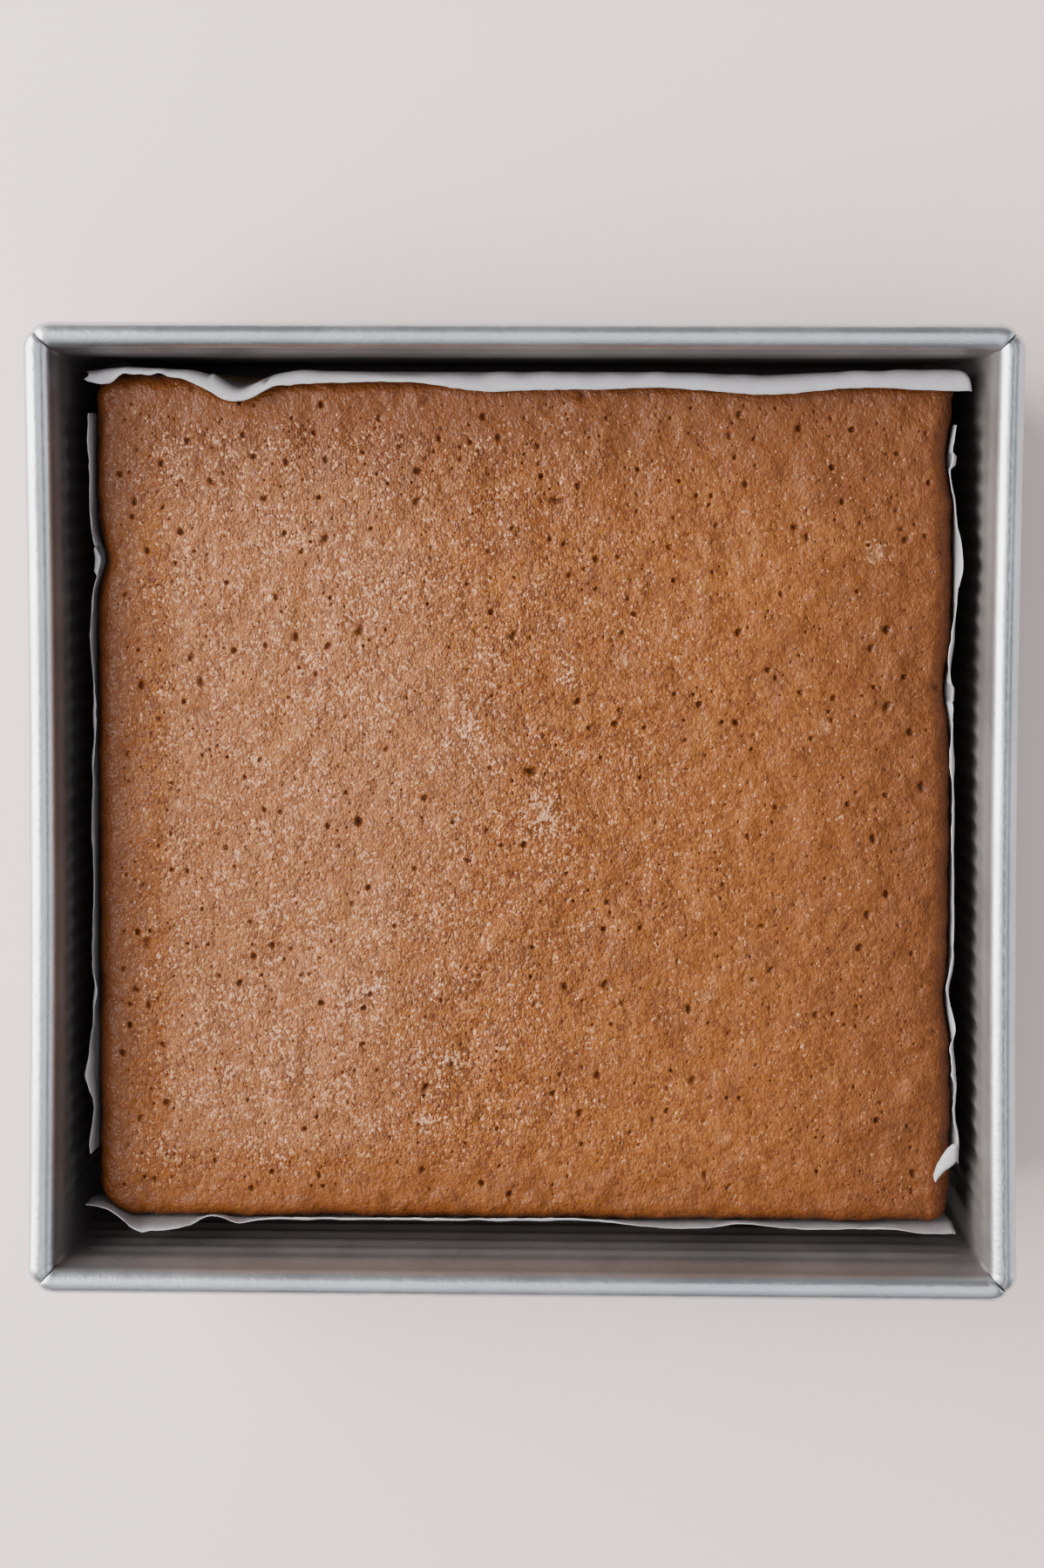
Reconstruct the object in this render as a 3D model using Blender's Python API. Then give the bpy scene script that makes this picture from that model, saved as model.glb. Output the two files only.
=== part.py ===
"""A square baking tin, its paper lining and the cake that was baked in it.

Metres, +Z up. The tin stands on z = 0 and its middle is at x = y = 0. The front is -Y.
Each of the three pieces is one closed solid, and a small gap parts it from the next.
"""
import math

import bmesh
import bpy
from mathutils import Vector

# The tin: pressed sheet with flared walls and a rolled rim
PAN_WIDTH = 0.2225           # over the rim, along X
PAN_DEPTH = 0.2190           # over the rim, along Y
PAN_HEIGHT = 0.0570
SHEET = 0.0008               # gauge of the metal
FLARE = math.radians(2.7)    # lean of the walls
RIM_SIDE = 0.0061            # width of the roll on the two sides along Y
RIM_END = 0.0051             # width of the roll on the two sides along X
RIM_DROP = 0.0060            # height of the roll
SHOULDER_REACH = 0.0018      # how far the wall opens just under the roll
SHOULDER_DROP = 0.0030
FLOOR_BEND = 0.0040          # inside radius between floor and wall
PAN_CORNER = 0.0030          # inside radius where two walls meet, under the roll
PAN_CORNER_LEAST = 0.0012    # the same at the floor
ROLL_CORNER = 0.0030         # how much rounder the roll's outer edge is at a corner
SIDE_BOW = 0.0010            # how far the sides along Y bend in at their middle

# The flutes pressed into the walls: upright on the sides along Y, level on the other two
FLUTE_PITCH = 0.0050
FLUTE_DEPTH = 0.0004         # from the middle of the sheet's wave to its crest
FLUTED_LENGTH = 0.0925       # the upright flutes reach this far from the middle of the side
FLUTED_FROM = 0.0090         # height of the lowest level flute
FLUTES_END = 0.0015          # the level flutes stop at least this far under the shoulder

# The paper lining: a cross-shaped sheet with four flaps, thickened so that it can be a solid
PAPER = 0.0004
PAPER_CLEAR = 0.0009         # from the cake's side to the middle of the paper
PAPER_BEND = 0.0030
LEAN_FROM = 0.0405           # height at which the free part of a flap starts
LEAN_CURL = 1.4              # how late in its height the free part does its leaning
FLAP_FOOT = 0.93             # width of a flap at its foot, as a share of its free edge
FLAP_COLUMNS = 24

# The cake
CAKE_WIDTH = 0.1950
CAKE_DEPTH = 0.1944
CAKE_SHIFT = 0.0009          # the cake stands this much nearer the back
CAKE_TAPER = 0.0012          # how much narrower each side is at the base
CAKE_EDGE_TOP = 0.0430       # height of the top face beside its rounded edge
CAKE_EDGE = 0.0055           # radius of the top edge
CAKE_FOOT = 0.0025           # radius of the bottom edge
CAKE_CROWN = 0.0018          # rise of the top face from its edge to its middle
CAKE_CORNERS = (0.0090, 0.0045, 0.0045, 0.0060)   # front left, front right, back right, back left

GAP = 0.0003                 # left between neighbouring pieces
CORNER_STEPS = 4
CAKE_SIDE_POINTS = 7
MERGE_FLAT = math.radians(1.0)   # faces of the tin that meet at less than this become one
TOP_RINGS = (1.0, 0.95, 0.88, 0.79, 0.69, 0.58, 0.47, 0.36, 0.25, 0.14, 0.05)

# Gentle swells and hollows of the cake's top: x, y, radius, height
SWELLS = (
    (-0.052, -0.038, 0.013, -0.0013),
    (-0.040, -0.045, 0.011, 0.0006),
    (-0.016, 0.018, 0.016, 0.0008),
    (0.005, 0.000, 0.012, 0.0006),
    (0.030, 0.070, 0.022, -0.0006),
    (0.062, -0.030, 0.024, -0.0007),
    (-0.070, 0.050, 0.020, 0.0006),
    (0.078, 0.055, 0.018, 0.0005),
)

# Free edge of each flap: place along the side, lean outwards, height
FLAPS = {
    "front": {"out": (0, -1), "along": (1, 0), "edge": (
        (-0.0990, -0.0020, 0.0455), (-0.0880, 0.0012, 0.0468), (-0.0700, -0.0010, 0.0450),
        (-0.0550, 0.0000, 0.0450), (0.0000, -0.0006, 0.0444), (0.0300, 0.0000, 0.0448),
        (0.0600, -0.0002, 0.0452), (0.0985, 0.0006, 0.0462))},
    "back": {"out": (0, 1), "along": (1, 0), "edge": (
        (-0.0995, -0.0012, 0.0475), (-0.0820, -0.0010, 0.0475), (-0.0640, -0.0064, 0.0482),
        (-0.0500, -0.0030, 0.0480), (0.0000, -0.0038, 0.0484), (0.0450, -0.0046, 0.0486),
        (0.0700, -0.0036, 0.0484), (0.1005, -0.0034, 0.0480))},
    "left": {"out": (-1, 0), "along": (0, 1), "edge": (
        (-0.0810, 0.0004, 0.0460), (-0.0600, 0.0010, 0.0466), (-0.0300, -0.0002, 0.0466),
        (0.0000, -0.0004, 0.0462), (0.0350, 0.0004, 0.0466), (0.0560, -0.0022, 0.0470),
        (0.0890, 0.0010, 0.0470))},
    "right": {"out": (1, 0), "along": (0, 1), "edge": (
        (-0.0860, -0.0036, 0.0476), (-0.0760, 0.0006, 0.0470), (-0.0450, -0.0010, 0.0466),
        (0.0000, -0.0012, 0.0466), (0.0300, -0.0012, 0.0466), (0.0560, 0.0008, 0.0470),
        (0.0870, -0.0004, 0.0466))},
}


def clear_scene():
    for thing in list(bpy.data.objects):
        bpy.data.objects.remove(thing, do_unlink=True)


def make_material(name, colour, roughness, metallic):
    material = bpy.data.materials.new(name)
    material.use_nodes = True
    shader = material.node_tree.nodes["Principled BSDF"]
    shader.inputs["Base Color"].default_value = (*colour, 1)
    shader.inputs["Roughness"].default_value = roughness
    shader.inputs["Metallic"].default_value = metallic
    return material


def plan_loop(half_x, half_y, corners, side_places, bow=0.0, shift=0.0):
    """A rounded rectangle seen from above, anticlockwise from its front left corner.

    side_places holds the places at which the two sides along X, and the two along Y, have
    points. Each point comes with its outward direction: x, y, out x, out y.
    """
    points = []
    signs = ((-1, -1), (1, -1), (1, 1), (-1, 1))
    outs = ((0, -1), (1, 0), (0, 1), (-1, 0))
    for turn, (sign_x, sign_y) in enumerate(signs):
        radius = corners[turn]
        centre_x = sign_x * (half_x - radius)
        centre_y = sign_y * (half_y - radius)
        for step in range(CORNER_STEPS + 1):
            angle = math.pi * (1 + turn / 2) + math.pi / 2 * step / CORNER_STEPS
            out_x, out_y = math.cos(angle), math.sin(angle)
            points.append((centre_x + radius * out_x, centre_y + radius * out_y, out_x, out_y))
        out_x, out_y = outs[turn]
        for place in side_places[turn % 2]:
            if turn % 2:
                bowed = half_x - bow * (1 - (place / half_y) ** 2)
                points.append((out_x * bowed, out_x * place, out_x, 0))
            else:
                points.append((-out_y * place, out_y * half_y, 0, out_y))
    return [(x, y + shift, out_x, out_y) for x, y, out_x, out_y in points]


def even_places(half, count):
    """Places spread evenly along a side, from one end to the other."""
    return [half * (2 * (step + 1) / (count + 1) - 1) for step in range(count)]


def skin_rings(name, rings, material, merge_flat=0.0):
    """Join rings of equal length, given from the middle of one face out to the other, as a solid.

    Faces that meet at less than merge_flat, an angle, become one.
    """
    mesh = bmesh.new()
    rows = [[mesh.verts.new(point) for point in ring] for ring in rings]
    count = len(rows[0])
    for lower, upper in zip(rows, rows[1:]):
        for place in range(count):
            after = (place + 1) % count
            mesh.faces.new((lower[place], lower[after], upper[after], upper[place]))
    mesh.faces.new(list(reversed(rows[0])))
    mesh.faces.new(rows[-1])
    bmesh.ops.recalc_face_normals(mesh, faces=mesh.faces)
    if merge_flat:
        bmesh.ops.dissolve_limit(mesh, angle_limit=merge_flat, verts=mesh.verts, edges=mesh.edges)
        bmesh.ops.triangulate(mesh, faces=mesh.faces)
    return finish_object(name, mesh, material)


def finish_object(name, mesh, material):
    data = bpy.data.meshes.new(name)
    mesh.to_mesh(data)
    mesh.free()
    data.materials.append(material)
    data.shade_smooth()
    data.set_sharp_from_angle(angle=math.radians(45))
    thing = bpy.data.objects.new(name, data)
    bpy.context.scene.collection.objects.link(thing)
    return thing


def wall_offset(z):
    """Place of the tin's inner wall at a height, measured outwards from the inside of the roll."""
    return -SHOULDER_REACH - (shoulder_z() - z) * math.tan(FLARE)


def rim_z():
    return PAN_HEIGHT - RIM_DROP / 2


def shoulder_z():
    return rim_z() - SHOULDER_DROP


def flute_levels():
    """Heights of the crests and troughs of the level flutes, from the lowest up."""
    count = int((shoulder_z() - FLUTES_END - FLUTED_FROM) / (FLUTE_PITCH / 2))
    return [FLUTED_FROM + step * FLUTE_PITCH / 2 for step in range(count + 1)]


def flute_lift(y, out_x, out_y, z):
    """How far the sheet stands out from its plain surface at a point of a fluted level."""
    upright = math.cos(2 * math.pi * y / FLUTE_PITCH) if abs(y) <= FLUTED_LENGTH else 0.0
    level = math.cos(2 * math.pi * (z - FLUTED_FROM) / FLUTE_PITCH)
    return FLUTE_DEPTH * (upright * (abs(out_x) == 1) + level * abs(out_y) ** 8)


def pan_profile():
    """Section of the tin from the middle of its floor, up inside, over the roll and down outside.

    Each entry is an offset shared by all four sides, a share of the roll's width, a height,
    and whether the sheet is fluted there.
    """
    bend_top = SHEET + FLOOR_BEND
    bend_centre = wall_offset(bend_top) - FLOOR_BEND
    arc = [math.radians(angle) for angle in (0, 30, 60, 87)]
    section = []
    for angle in arc:
        height = bend_top - FLOOR_BEND * math.cos(angle)
        section.append((bend_centre + FLOOR_BEND * math.sin(angle), 0.0, height, False))
    for z in flute_levels():
        section.append((wall_offset(z), 0.0, z, True))
    section.append((wall_offset(shoulder_z()), 0.0, shoulder_z(), False))
    section.append((-0.60 * SHOULDER_REACH, 0.0, shoulder_z() + 0.45 * SHOULDER_DROP, False))
    section.append((-0.18 * SHOULDER_REACH, 0.0, shoulder_z() + 0.80 * SHOULDER_DROP, False))
    for angle in range(180, -151, -30):
        turn = math.radians(angle)
        height = rim_z() + RIM_DROP / 2 * math.sin(turn)
        section.append((0.0, 0.5 + 0.5 * math.cos(turn), height, False))
    tuck = shoulder_z() + 0.20 * SHOULDER_DROP
    section.append((-0.85 * SHOULDER_REACH + SHEET, 0.0, tuck, False))
    for z in reversed(flute_levels()):
        section.append((wall_offset(z) + SHEET, 0.0, z, True))
    outer_bend = FLOOR_BEND + SHEET
    for angle in reversed(arc):
        height = bend_top - outer_bend * math.cos(angle)
        section.append((bend_centre + outer_bend * math.sin(angle), 0.0, height, False))
    return section


def make_pan():
    mouth_x = PAN_WIDTH / 2 - RIM_SIDE
    mouth_y = PAN_DEPTH / 2 - RIM_END
    crests = round(FLUTED_LENGTH / (FLUTE_PITCH / 2))
    upright = [step * FLUTE_PITCH / 2 for step in range(-crests, crests + 1)]
    side_places = (even_places(mouth_x, 3), upright)
    rings = []
    for offset, roll, z, fluted in pan_profile():
        half_x = mouth_x + offset + roll * RIM_SIDE
        half_y = mouth_y + offset + roll * RIM_END
        radius = max(PAN_CORNER_LEAST, PAN_CORNER + offset + SHOULDER_REACH) + ROLL_CORNER * roll
        ring = []
        bow = SIDE_BOW * z / PAN_HEIGHT
        for x, y, out_x, out_y in plan_loop(half_x, half_y, [radius] * 4, side_places, bow):
            lift = flute_lift(y, out_x, out_y, z) if fluted else 0.0
            ring.append((x + out_x * lift, y + out_y * lift, z))
        rings.append(ring)
    metal = make_material("pan_metal", (0.52, 0.54, 0.56), 0.35, 1.0)
    return skin_rings("pan", rings, metal, merge_flat=MERGE_FLAT)


def cake_base():
    """Height of the cake's underside: above the floor, the paper and the gaps beside it."""
    return SHEET + GAP + PAPER + GAP


def cake_half(z):
    """Half the cake's width and depth at a height on its side."""
    share = (z - cake_base()) / (CAKE_EDGE_TOP - CAKE_EDGE - cake_base())
    inset = CAKE_TAPER * (1 - min(max(share, 0.0), 1.0))
    return CAKE_WIDTH / 2 - inset, CAKE_DEPTH / 2 - inset


def top_height(x, y):
    """Height of the cake's top face: a low crown with its swells and hollows."""
    across = min(abs(x) / (CAKE_WIDTH / 2), 1.0)
    deep = min(abs(y - CAKE_SHIFT) / (CAKE_DEPTH / 2), 1.0)
    height = CAKE_EDGE_TOP + CAKE_CROWN * (1 - across ** 4) * (1 - deep ** 4)
    edge = (1 - across ** 6) * (1 - deep ** 6)
    for swell_x, swell_y, radius, rise in SWELLS:
        away = math.hypot(x - swell_x, y - swell_y) / radius
        height += edge * rise * math.exp(-away * away)
    return height


def cake_section():
    """Inset from the cake's side and height, from the underside up to the top face."""
    section = []
    base = cake_base()
    for angle in (0, 45, 90):
        turn = math.radians(angle)
        inset = CAKE_FOOT * (1 - math.sin(turn))
        section.append((inset, base + CAKE_FOOT * (1 - math.cos(turn))))
    side_top = CAKE_EDGE_TOP - CAKE_EDGE
    section.append((0.0, (base + side_top) / 2))
    for angle in (0, 22.5, 45, 67.5):
        turn = math.radians(angle)
        inset = CAKE_EDGE * (1 - math.cos(turn))
        section.append((inset, side_top + CAKE_EDGE * math.sin(turn)))
    return section


def cake_loop(half_x, half_y, corners):
    """The cake's outline at one level, as x and y."""
    places = (even_places(half_x, CAKE_SIDE_POINTS), even_places(half_y, CAKE_SIDE_POINTS))
    loop = plan_loop(half_x, half_y, corners, places, shift=CAKE_SHIFT)
    return [(x, y) for x, y, out_x, out_y in loop]


def make_cake():
    rings = []
    for inset, z in cake_section():
        half_x, half_y = cake_half(z)
        corners = [radius - inset / 2 for radius in CAKE_CORNERS]
        rings.append([(x, y, z) for x, y in cake_loop(half_x - inset, half_y - inset, corners)])
    for share in TOP_RINGS:
        half_x = (CAKE_WIDTH / 2 - CAKE_EDGE) * share
        half_y = (CAKE_DEPTH / 2 - CAKE_EDGE) * share
        corners = [(radius - CAKE_EDGE / 2) * share for radius in CAKE_CORNERS]
        rings.append([(x, y, top_height(x, y)) for x, y in cake_loop(half_x, half_y, corners)])
    crust = make_material("cake_crust", (0.36, 0.16, 0.06), 0.55, 0.0)
    return skin_rings("cake", rings, crust)


def edge_at(edge, along):
    """Lean and height of a flap's free edge, eased between the stated places."""
    for (from_s, *start), (to_s, *end) in zip(edge, edge[1:]):
        if along <= to_s:
            share = (along - from_s) / (to_s - from_s)
            eased = share * share * (3 - 2 * share)
            return [a + (b - a) * eased for a, b in zip(start, end)]
    return list(edge[-1][1:])


def flap_column(flap, share, z_middle):
    """Points up one line of a flap: the bend at its foot, the tall part and the free part."""
    outward = Vector((*flap["out"], 0))
    along = Vector((*flap["along"], 0))
    first, last = flap["edge"][0][0], flap["edge"][-1][0]
    place_top = first + (last - first) * share
    lean, height = edge_at(flap["edge"], place_top)
    half_x, half_y = cake_half(cake_base())
    half = half_x if flap["out"][0] else half_y
    reach = half + (CAKE_SHIFT * flap["out"][1])
    foot = reach - PAPER_BEND + PAPER_CLEAR
    column = []
    for angle in (0, 30, 60, 90):
        turn = math.radians(angle)
        out = foot + PAPER_BEND * math.sin(turn)
        z = z_middle + PAPER_BEND * (1 - math.cos(turn))
        column.append(outward * out + along * place_top * FLAP_FOOT + Vector((0, 0, z)))
    rise_start = column[-1].z
    for level in (0.5, 1.0):
        z = rise_start + (LEAN_FROM - rise_start) * level
        out = foot + PAPER_BEND + CAKE_TAPER * level
        spread = FLAP_FOOT + (1 - FLAP_FOOT) * level
        column.append(outward * out + along * place_top * spread + Vector((0, 0, z)))
    top_out = foot + PAPER_BEND + CAKE_TAPER
    for level in (1 / 3, 2 / 3, 1.0):
        out = top_out + lean * level ** LEAN_CURL
        z = LEAN_FROM + (height - LEAN_FROM) * level
        column.append(outward * out + along * place_top + Vector((0, 0, z)))
    return column


def make_parchment():
    """One sheet with its corners cut away: the base and four flaps folded up from it."""
    z_middle = SHEET + GAP + PAPER / 2
    mesh = bmesh.new()
    base_loop = []
    for name in ("front", "right", "back", "left"):
        flap = FLAPS[name]
        shares = [step / FLAP_COLUMNS for step in range(FLAP_COLUMNS + 1)]
        if name in ("back", "left"):
            shares.reverse()
        rows = []
        for share in shares:
            rows.append([mesh.verts.new(point) for point in flap_column(flap, share, z_middle)])
        for left, right in zip(rows, rows[1:]):
            for low in range(len(left) - 1):
                mesh.faces.new((left[low], right[low], right[low + 1], left[low + 1]))
        base_loop.extend(row[0] for row in rows)
    mesh.faces.new(base_loop)
    bmesh.ops.recalc_face_normals(mesh, faces=mesh.faces)
    paper = make_material("parchment_paper", (0.78, 0.77, 0.75), 0.6, 0.0)
    thing = finish_object("parchment", mesh, paper)
    thicken = thing.modifiers.new("thickness", "SOLIDIFY")
    thicken.thickness = PAPER
    thicken.offset = 0.0
    thicken.use_even_offset = True
    return thing


clear_scene()
make_pan()
make_parchment()
make_cake()
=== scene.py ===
import math

import bpy
import numpy as np
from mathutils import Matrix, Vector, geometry


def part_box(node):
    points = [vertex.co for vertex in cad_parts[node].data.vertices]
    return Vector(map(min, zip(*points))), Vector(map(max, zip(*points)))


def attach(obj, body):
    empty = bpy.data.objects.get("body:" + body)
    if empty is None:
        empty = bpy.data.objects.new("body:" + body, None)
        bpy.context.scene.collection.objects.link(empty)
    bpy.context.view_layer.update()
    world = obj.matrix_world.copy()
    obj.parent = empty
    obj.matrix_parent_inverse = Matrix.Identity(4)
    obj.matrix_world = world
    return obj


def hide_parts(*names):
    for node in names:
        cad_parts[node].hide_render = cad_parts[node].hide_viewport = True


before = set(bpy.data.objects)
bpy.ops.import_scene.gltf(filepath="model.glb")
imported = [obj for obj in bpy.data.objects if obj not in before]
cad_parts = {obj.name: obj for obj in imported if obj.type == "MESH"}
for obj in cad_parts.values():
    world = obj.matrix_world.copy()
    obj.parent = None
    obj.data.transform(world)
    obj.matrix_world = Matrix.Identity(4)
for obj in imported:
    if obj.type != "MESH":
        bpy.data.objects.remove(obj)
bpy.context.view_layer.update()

# A square baking tin, its paper lining and the cake baked in it.
# Metres, +Z up; the tin stands on z = 0 and the front is -Y.

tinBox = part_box("pan")
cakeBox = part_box("cake")
body = "root"


# Mesh and noise helpers

def meshObject(name, points, faces, smooth=True):
    mesh = bpy.data.meshes.new(name)
    mesh.from_pydata(np.asarray(points, float).tolist(), [], [list(map(int, face)) for face in faces])
    mesh.validate()
    mesh.update()
    if smooth:
        mesh.shade_smooth()
    thing = bpy.data.objects.new(name, mesh)
    bpy.context.scene.collection.objects.link(thing)
    return thing


def addMask(thing, name, values):
    layer = thing.data.attributes.new(name, "FLOAT", "POINT")
    layer.data.foreach_set("value", np.asarray(values, np.float32).ravel())


def gridQuads(rows, columns, closed=False, start=0):
    # quads between neighbouring rows of points; closed joins the last column to the first
    row = np.arange(rows - 1)[:, None]
    column = np.arange(columns if closed else columns - 1)[None, :]
    after = (column + 1) % columns
    low = row * columns
    high = (row + 1) * columns
    quads = np.stack([low + column, low + after, high + after, high + column], axis=-1)
    return (quads.reshape(-1, 4) + start).tolist()


def smoothNoise(x, y, cell, seed):
    # smooth random relief between -1 and 1, with features about one cell across
    rng = np.random.default_rng(seed)
    u = np.asarray(x, float) / cell
    v = np.asarray(y, float) / cell
    lowU = int(np.floor(u.min())) - 1
    lowV = int(np.floor(v.min())) - 1
    sizeU = int(np.floor(u.max())) - lowU + 3
    sizeV = int(np.floor(v.max())) - lowV + 3
    lattice = rng.uniform(-1.0, 1.0, (sizeU, sizeV))
    iu = np.floor(u).astype(int)
    iv = np.floor(v).astype(int)
    fu = u - iu
    fv = v - iv
    fu = fu * fu * fu * (fu * (fu * 6 - 15) + 10)
    fv = fv * fv * fv * (fv * (fv * 6 - 15) + 10)
    iu = iu - lowU
    iv = iv - lowV
    near = lattice[iu, iv] * (1 - fu) + lattice[iu + 1, iv] * fu
    far = lattice[iu, iv + 1] * (1 - fu) + lattice[iu + 1, iv + 1] * fu
    return near * (1 - fv) + far * fv


def smoothStep(low, high, value):
    share = np.clip((np.asarray(value, float) - low) / (high - low), 0.0, 1.0)
    return share * share * (3 - 2 * share)


def easedRoute(points, places):
    # each further column of points, read at the places and eased from one stop to the next
    table = np.array(points, float)
    stops = table[:, 0]
    places = np.clip(places, stops[0], stops[-1])
    after = np.clip(np.searchsorted(stops, places), 1, len(stops) - 1)
    before = after - 1
    slopes = np.gradient(table[:, 1:], stops, axis=0)
    span = (stops[after] - stops[before])[:, None]
    share = ((places - stops[before]) / (stops[after] - stops[before]))[:, None]
    square = share * share
    cube = square * share
    start = (2 * cube - 3 * square + 1) * table[before, 1:]
    start = start + (cube - 2 * square + share) * span * slopes[before]
    return start + (3 * square - 2 * cube) * table[after, 1:] + (cube - square) * span * slopes[after]


# The tin

tin = {
    "width": tinBox[1].x - tinBox[0].x,
    "depth": tinBox[1].y - tinBox[0].y,
    "height": tinBox[1].z,
    "sheet": 0.0008,
    "flare": math.radians(2.7),      # lean of the walls
    "rollSide": 0.0061,              # width of the roll on the sides along Y
    "rollEnd": 0.0059,               # and on the two sides along X
    "rollDrop": 0.0060,
    "shoulderReach": 0.0012,         # how far the wall opens just under the roll
    "shoulderDrop": 0.0045,
    "floorBend": 0.0040,
    "wallCorner": 0.0010,            # corner radius of the walls and of the roll's inner edge
    "rollCorner": 0.0054,            # how much rounder the roll's outer edge is
    "bow": 0.0010,                   # the sides along Y bend in by this at their middle
    "flutePitch": 0.0050,
    "fluteDepth": 0.00028,
    "fluteSharpness": 2.6,           # 2 is a plain wave; more makes the grooves narrower than the ribs
    "flutedHalf": 0.0925,            # upright flutes reach this far from the middle of a side
    "flutedFrom": 0.0070,            # level flutes start at this height
    "flutesEnd": 0.0010,             # and stop this far under the shoulder
    "perFlute": 6,                   # points to one flute
    "seamWidth": 0.00012,            # the mitre line where two rolls meet
    "seamDepth": 0.14,
    "endRound": 0.0022,              # length of a side roll's rounded end
    "endShrink": 0.20,
    "endPinch": 0.12,                # how much the rolls running through are drawn in at the mitre
    "pinchReach": 0.0014,
    "leftWear": 0.35,                # the worn line on the left roll, as a share of the right one's
}
tin["rimZ"] = tin["height"] - tin["rollDrop"] / 2
tin["shoulderZ"] = tin["rimZ"] - tin["shoulderDrop"]
tin["mouthX"] = tin["width"] / 2 - tin["rollSide"]
tin["mouthY"] = tin["depth"] / 2 - tin["rollEnd"]

cornerAngles = [45, 38, 31, 25, 19.5, 14.5, 10.5, 7.5, 5, 3.2, 1.8, 0.8]
cornerExtras = [0.0004, 0.0009, 0.0015, 0.0023, 0.0033, 0.0048]
rollMiddleRadius = 0.0037


def fluteWave(turns):
    # 1 on a rib and -1 in a groove
    half = np.abs(np.sin(np.pi * turns))
    return 1 - 2 * half ** tin["fluteSharpness"]


def tinLoopStations():
    # the places of one ring's points: kind, place along its side, angle in its corner, distance to the mitre
    turns = [-angle for angle in cornerAngles] + [0.0] + cornerAngles[::-1]
    step = tin["flutePitch"] / tin["perFlute"]
    count = round(tin["flutedHalf"] / step)
    upright = [step * index for index in range(-count, count + 1)]
    level = [0.0080 * index for index in range(-11, 12)]
    stations = []
    for side in range(4):
        arcEnd = math.pi / 4 * rollMiddleRadius
        stations += [(side, "lead", extra, 0.0, arcEnd + extra) for extra in cornerExtras]
        stations += [(side, "straight", place, 0.0, 1.0) for place in (upright if side % 2 else level)]
        stations += [(side, "trail", extra, 0.0, arcEnd + extra) for extra in cornerExtras[::-1]]
        for turn in turns:
            angle = math.radians(turn)
            stations.append((side, "corner", 0.0, angle, angle * rollMiddleRadius))
    return stations


def tinRing(stations, halfX, halfY, radius, bow):
    # x, y and outward direction of every point of one ring, anticlockwise from the front side's left end
    outs = ((0, -1), (1, 0), (0, 1), (-1, 0))
    ring = []
    for side, kind, place, angle, reach in stations:
        outX, outY = outs[side]
        alongX, alongY = -outY, outX
        halfOut = halfX if outX else halfY
        halfAlong = halfY if outX else halfX
        if kind == "corner":
            middle = math.atan2(outY, outX) + math.pi / 4 + angle
            centreX = (outX + alongX) * (halfX - radius)
            centreY = (outY + alongY) * (halfY - radius)
            out = (math.cos(middle), math.sin(middle))
            ring.append((centreX + radius * out[0], centreY + radius * out[1], out[0], out[1]))
            continue
        if kind == "lead":
            place = place - (halfAlong - radius)
        if kind == "trail":
            place = halfAlong - radius - place
        bowed = halfOut - (bow * (1 - (place / halfY) ** 2) if outX else 0.0)
        ring.append((outX * bowed + alongX * place, outY * bowed + alongY * place, outX, outY))
    return np.array(ring)


def wallOffset(z):
    return -tin["shoulderReach"] - (tin["shoulderZ"] - z) * math.tan(tin["flare"])


def tinProfile():
    # offset from the mouth, height, angle on the roll, part, and how upright the sheet is there
    sheet, bend = tin["sheet"], tin["floorBend"]
    centreOut = wallOffset(sheet + bend) - bend
    centreZ = sheet + bend
    arc = [0, 15, 30, 45, 60, 75, 87]
    step = tin["flutePitch"] / tin["perFlute"]
    levels = list(np.arange(tin["flutedFrom"], tin["shoulderZ"] - tin["flutesEnd"] + 1e-6, step))
    inside = []
    for degrees in arc:
        turn = math.radians(degrees)
        spot = (centreOut + bend * math.sin(turn), centreZ - bend * math.cos(turn))
        inside.append((*spot, 0.0, "bend", degrees / 90))
    inside += [(wallOffset(z), z, 0.0, "wall", 1.0) for z in levels]
    reach, drop, shoulder = tin["shoulderReach"], tin["shoulderDrop"], tin["shoulderZ"]
    for out, up in ((1.0, 0.0), (0.86, 0.22), (0.60, 0.45), (0.34, 0.66), (0.15, 0.84)):
        inside.append((-out * reach, shoulder + up * drop, 0.0, "shoulder", 1.0))
    roll = []
    for degrees in range(180, -166, -15):
        turn = math.radians(degrees)
        roll.append((0.0, tin["rimZ"] + tin["rollDrop"] / 2 * math.sin(turn), turn, "roll", 1.0))
    outside = [(-0.72 * reach + sheet, shoulder + 0.36 * drop, 0.0, "shoulder", 1.0)]
    outside.append((-0.90 * reach + sheet, shoulder + 0.12 * drop, 0.0, "shoulder", 1.0))
    outside += [(wallOffset(z) + sheet, z, 0.0, "wall", 1.0) for z in reversed(levels)]
    for degrees in reversed(arc):
        turn = math.radians(degrees)
        spot = (centreOut + (bend + sheet) * math.sin(turn), centreZ - (bend + sheet) * math.cos(turn))
        outside.append((*spot, 0.0, "bend", degrees / 90))
    return inside + roll + outside


def rollSize(stations):
    # how much the roll is drawn in near each mitre: the side rolls end rounded, the end rolls run on
    size = []
    for side, kind, place, angle, reach in stations:
        onSide = side % 2 == 1
        if kind == "corner":
            onSide = (angle < 0) == onSide
        away = abs(reach)
        if onSide:
            share = min(away / tin["endRound"], 1.0)
            drawn = tin["endShrink"] * (1 - math.sqrt(1 - (1 - share) ** 2))
        else:
            drawn = tin["endPinch"] * (1 - min(away / tin["pinchReach"], 1.0)) ** 2
        groove = math.exp(-(away / tin["seamWidth"]) ** 2)
        size.append(1 - drawn - tin["seamDepth"] * groove)
    return np.array(size)


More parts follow.
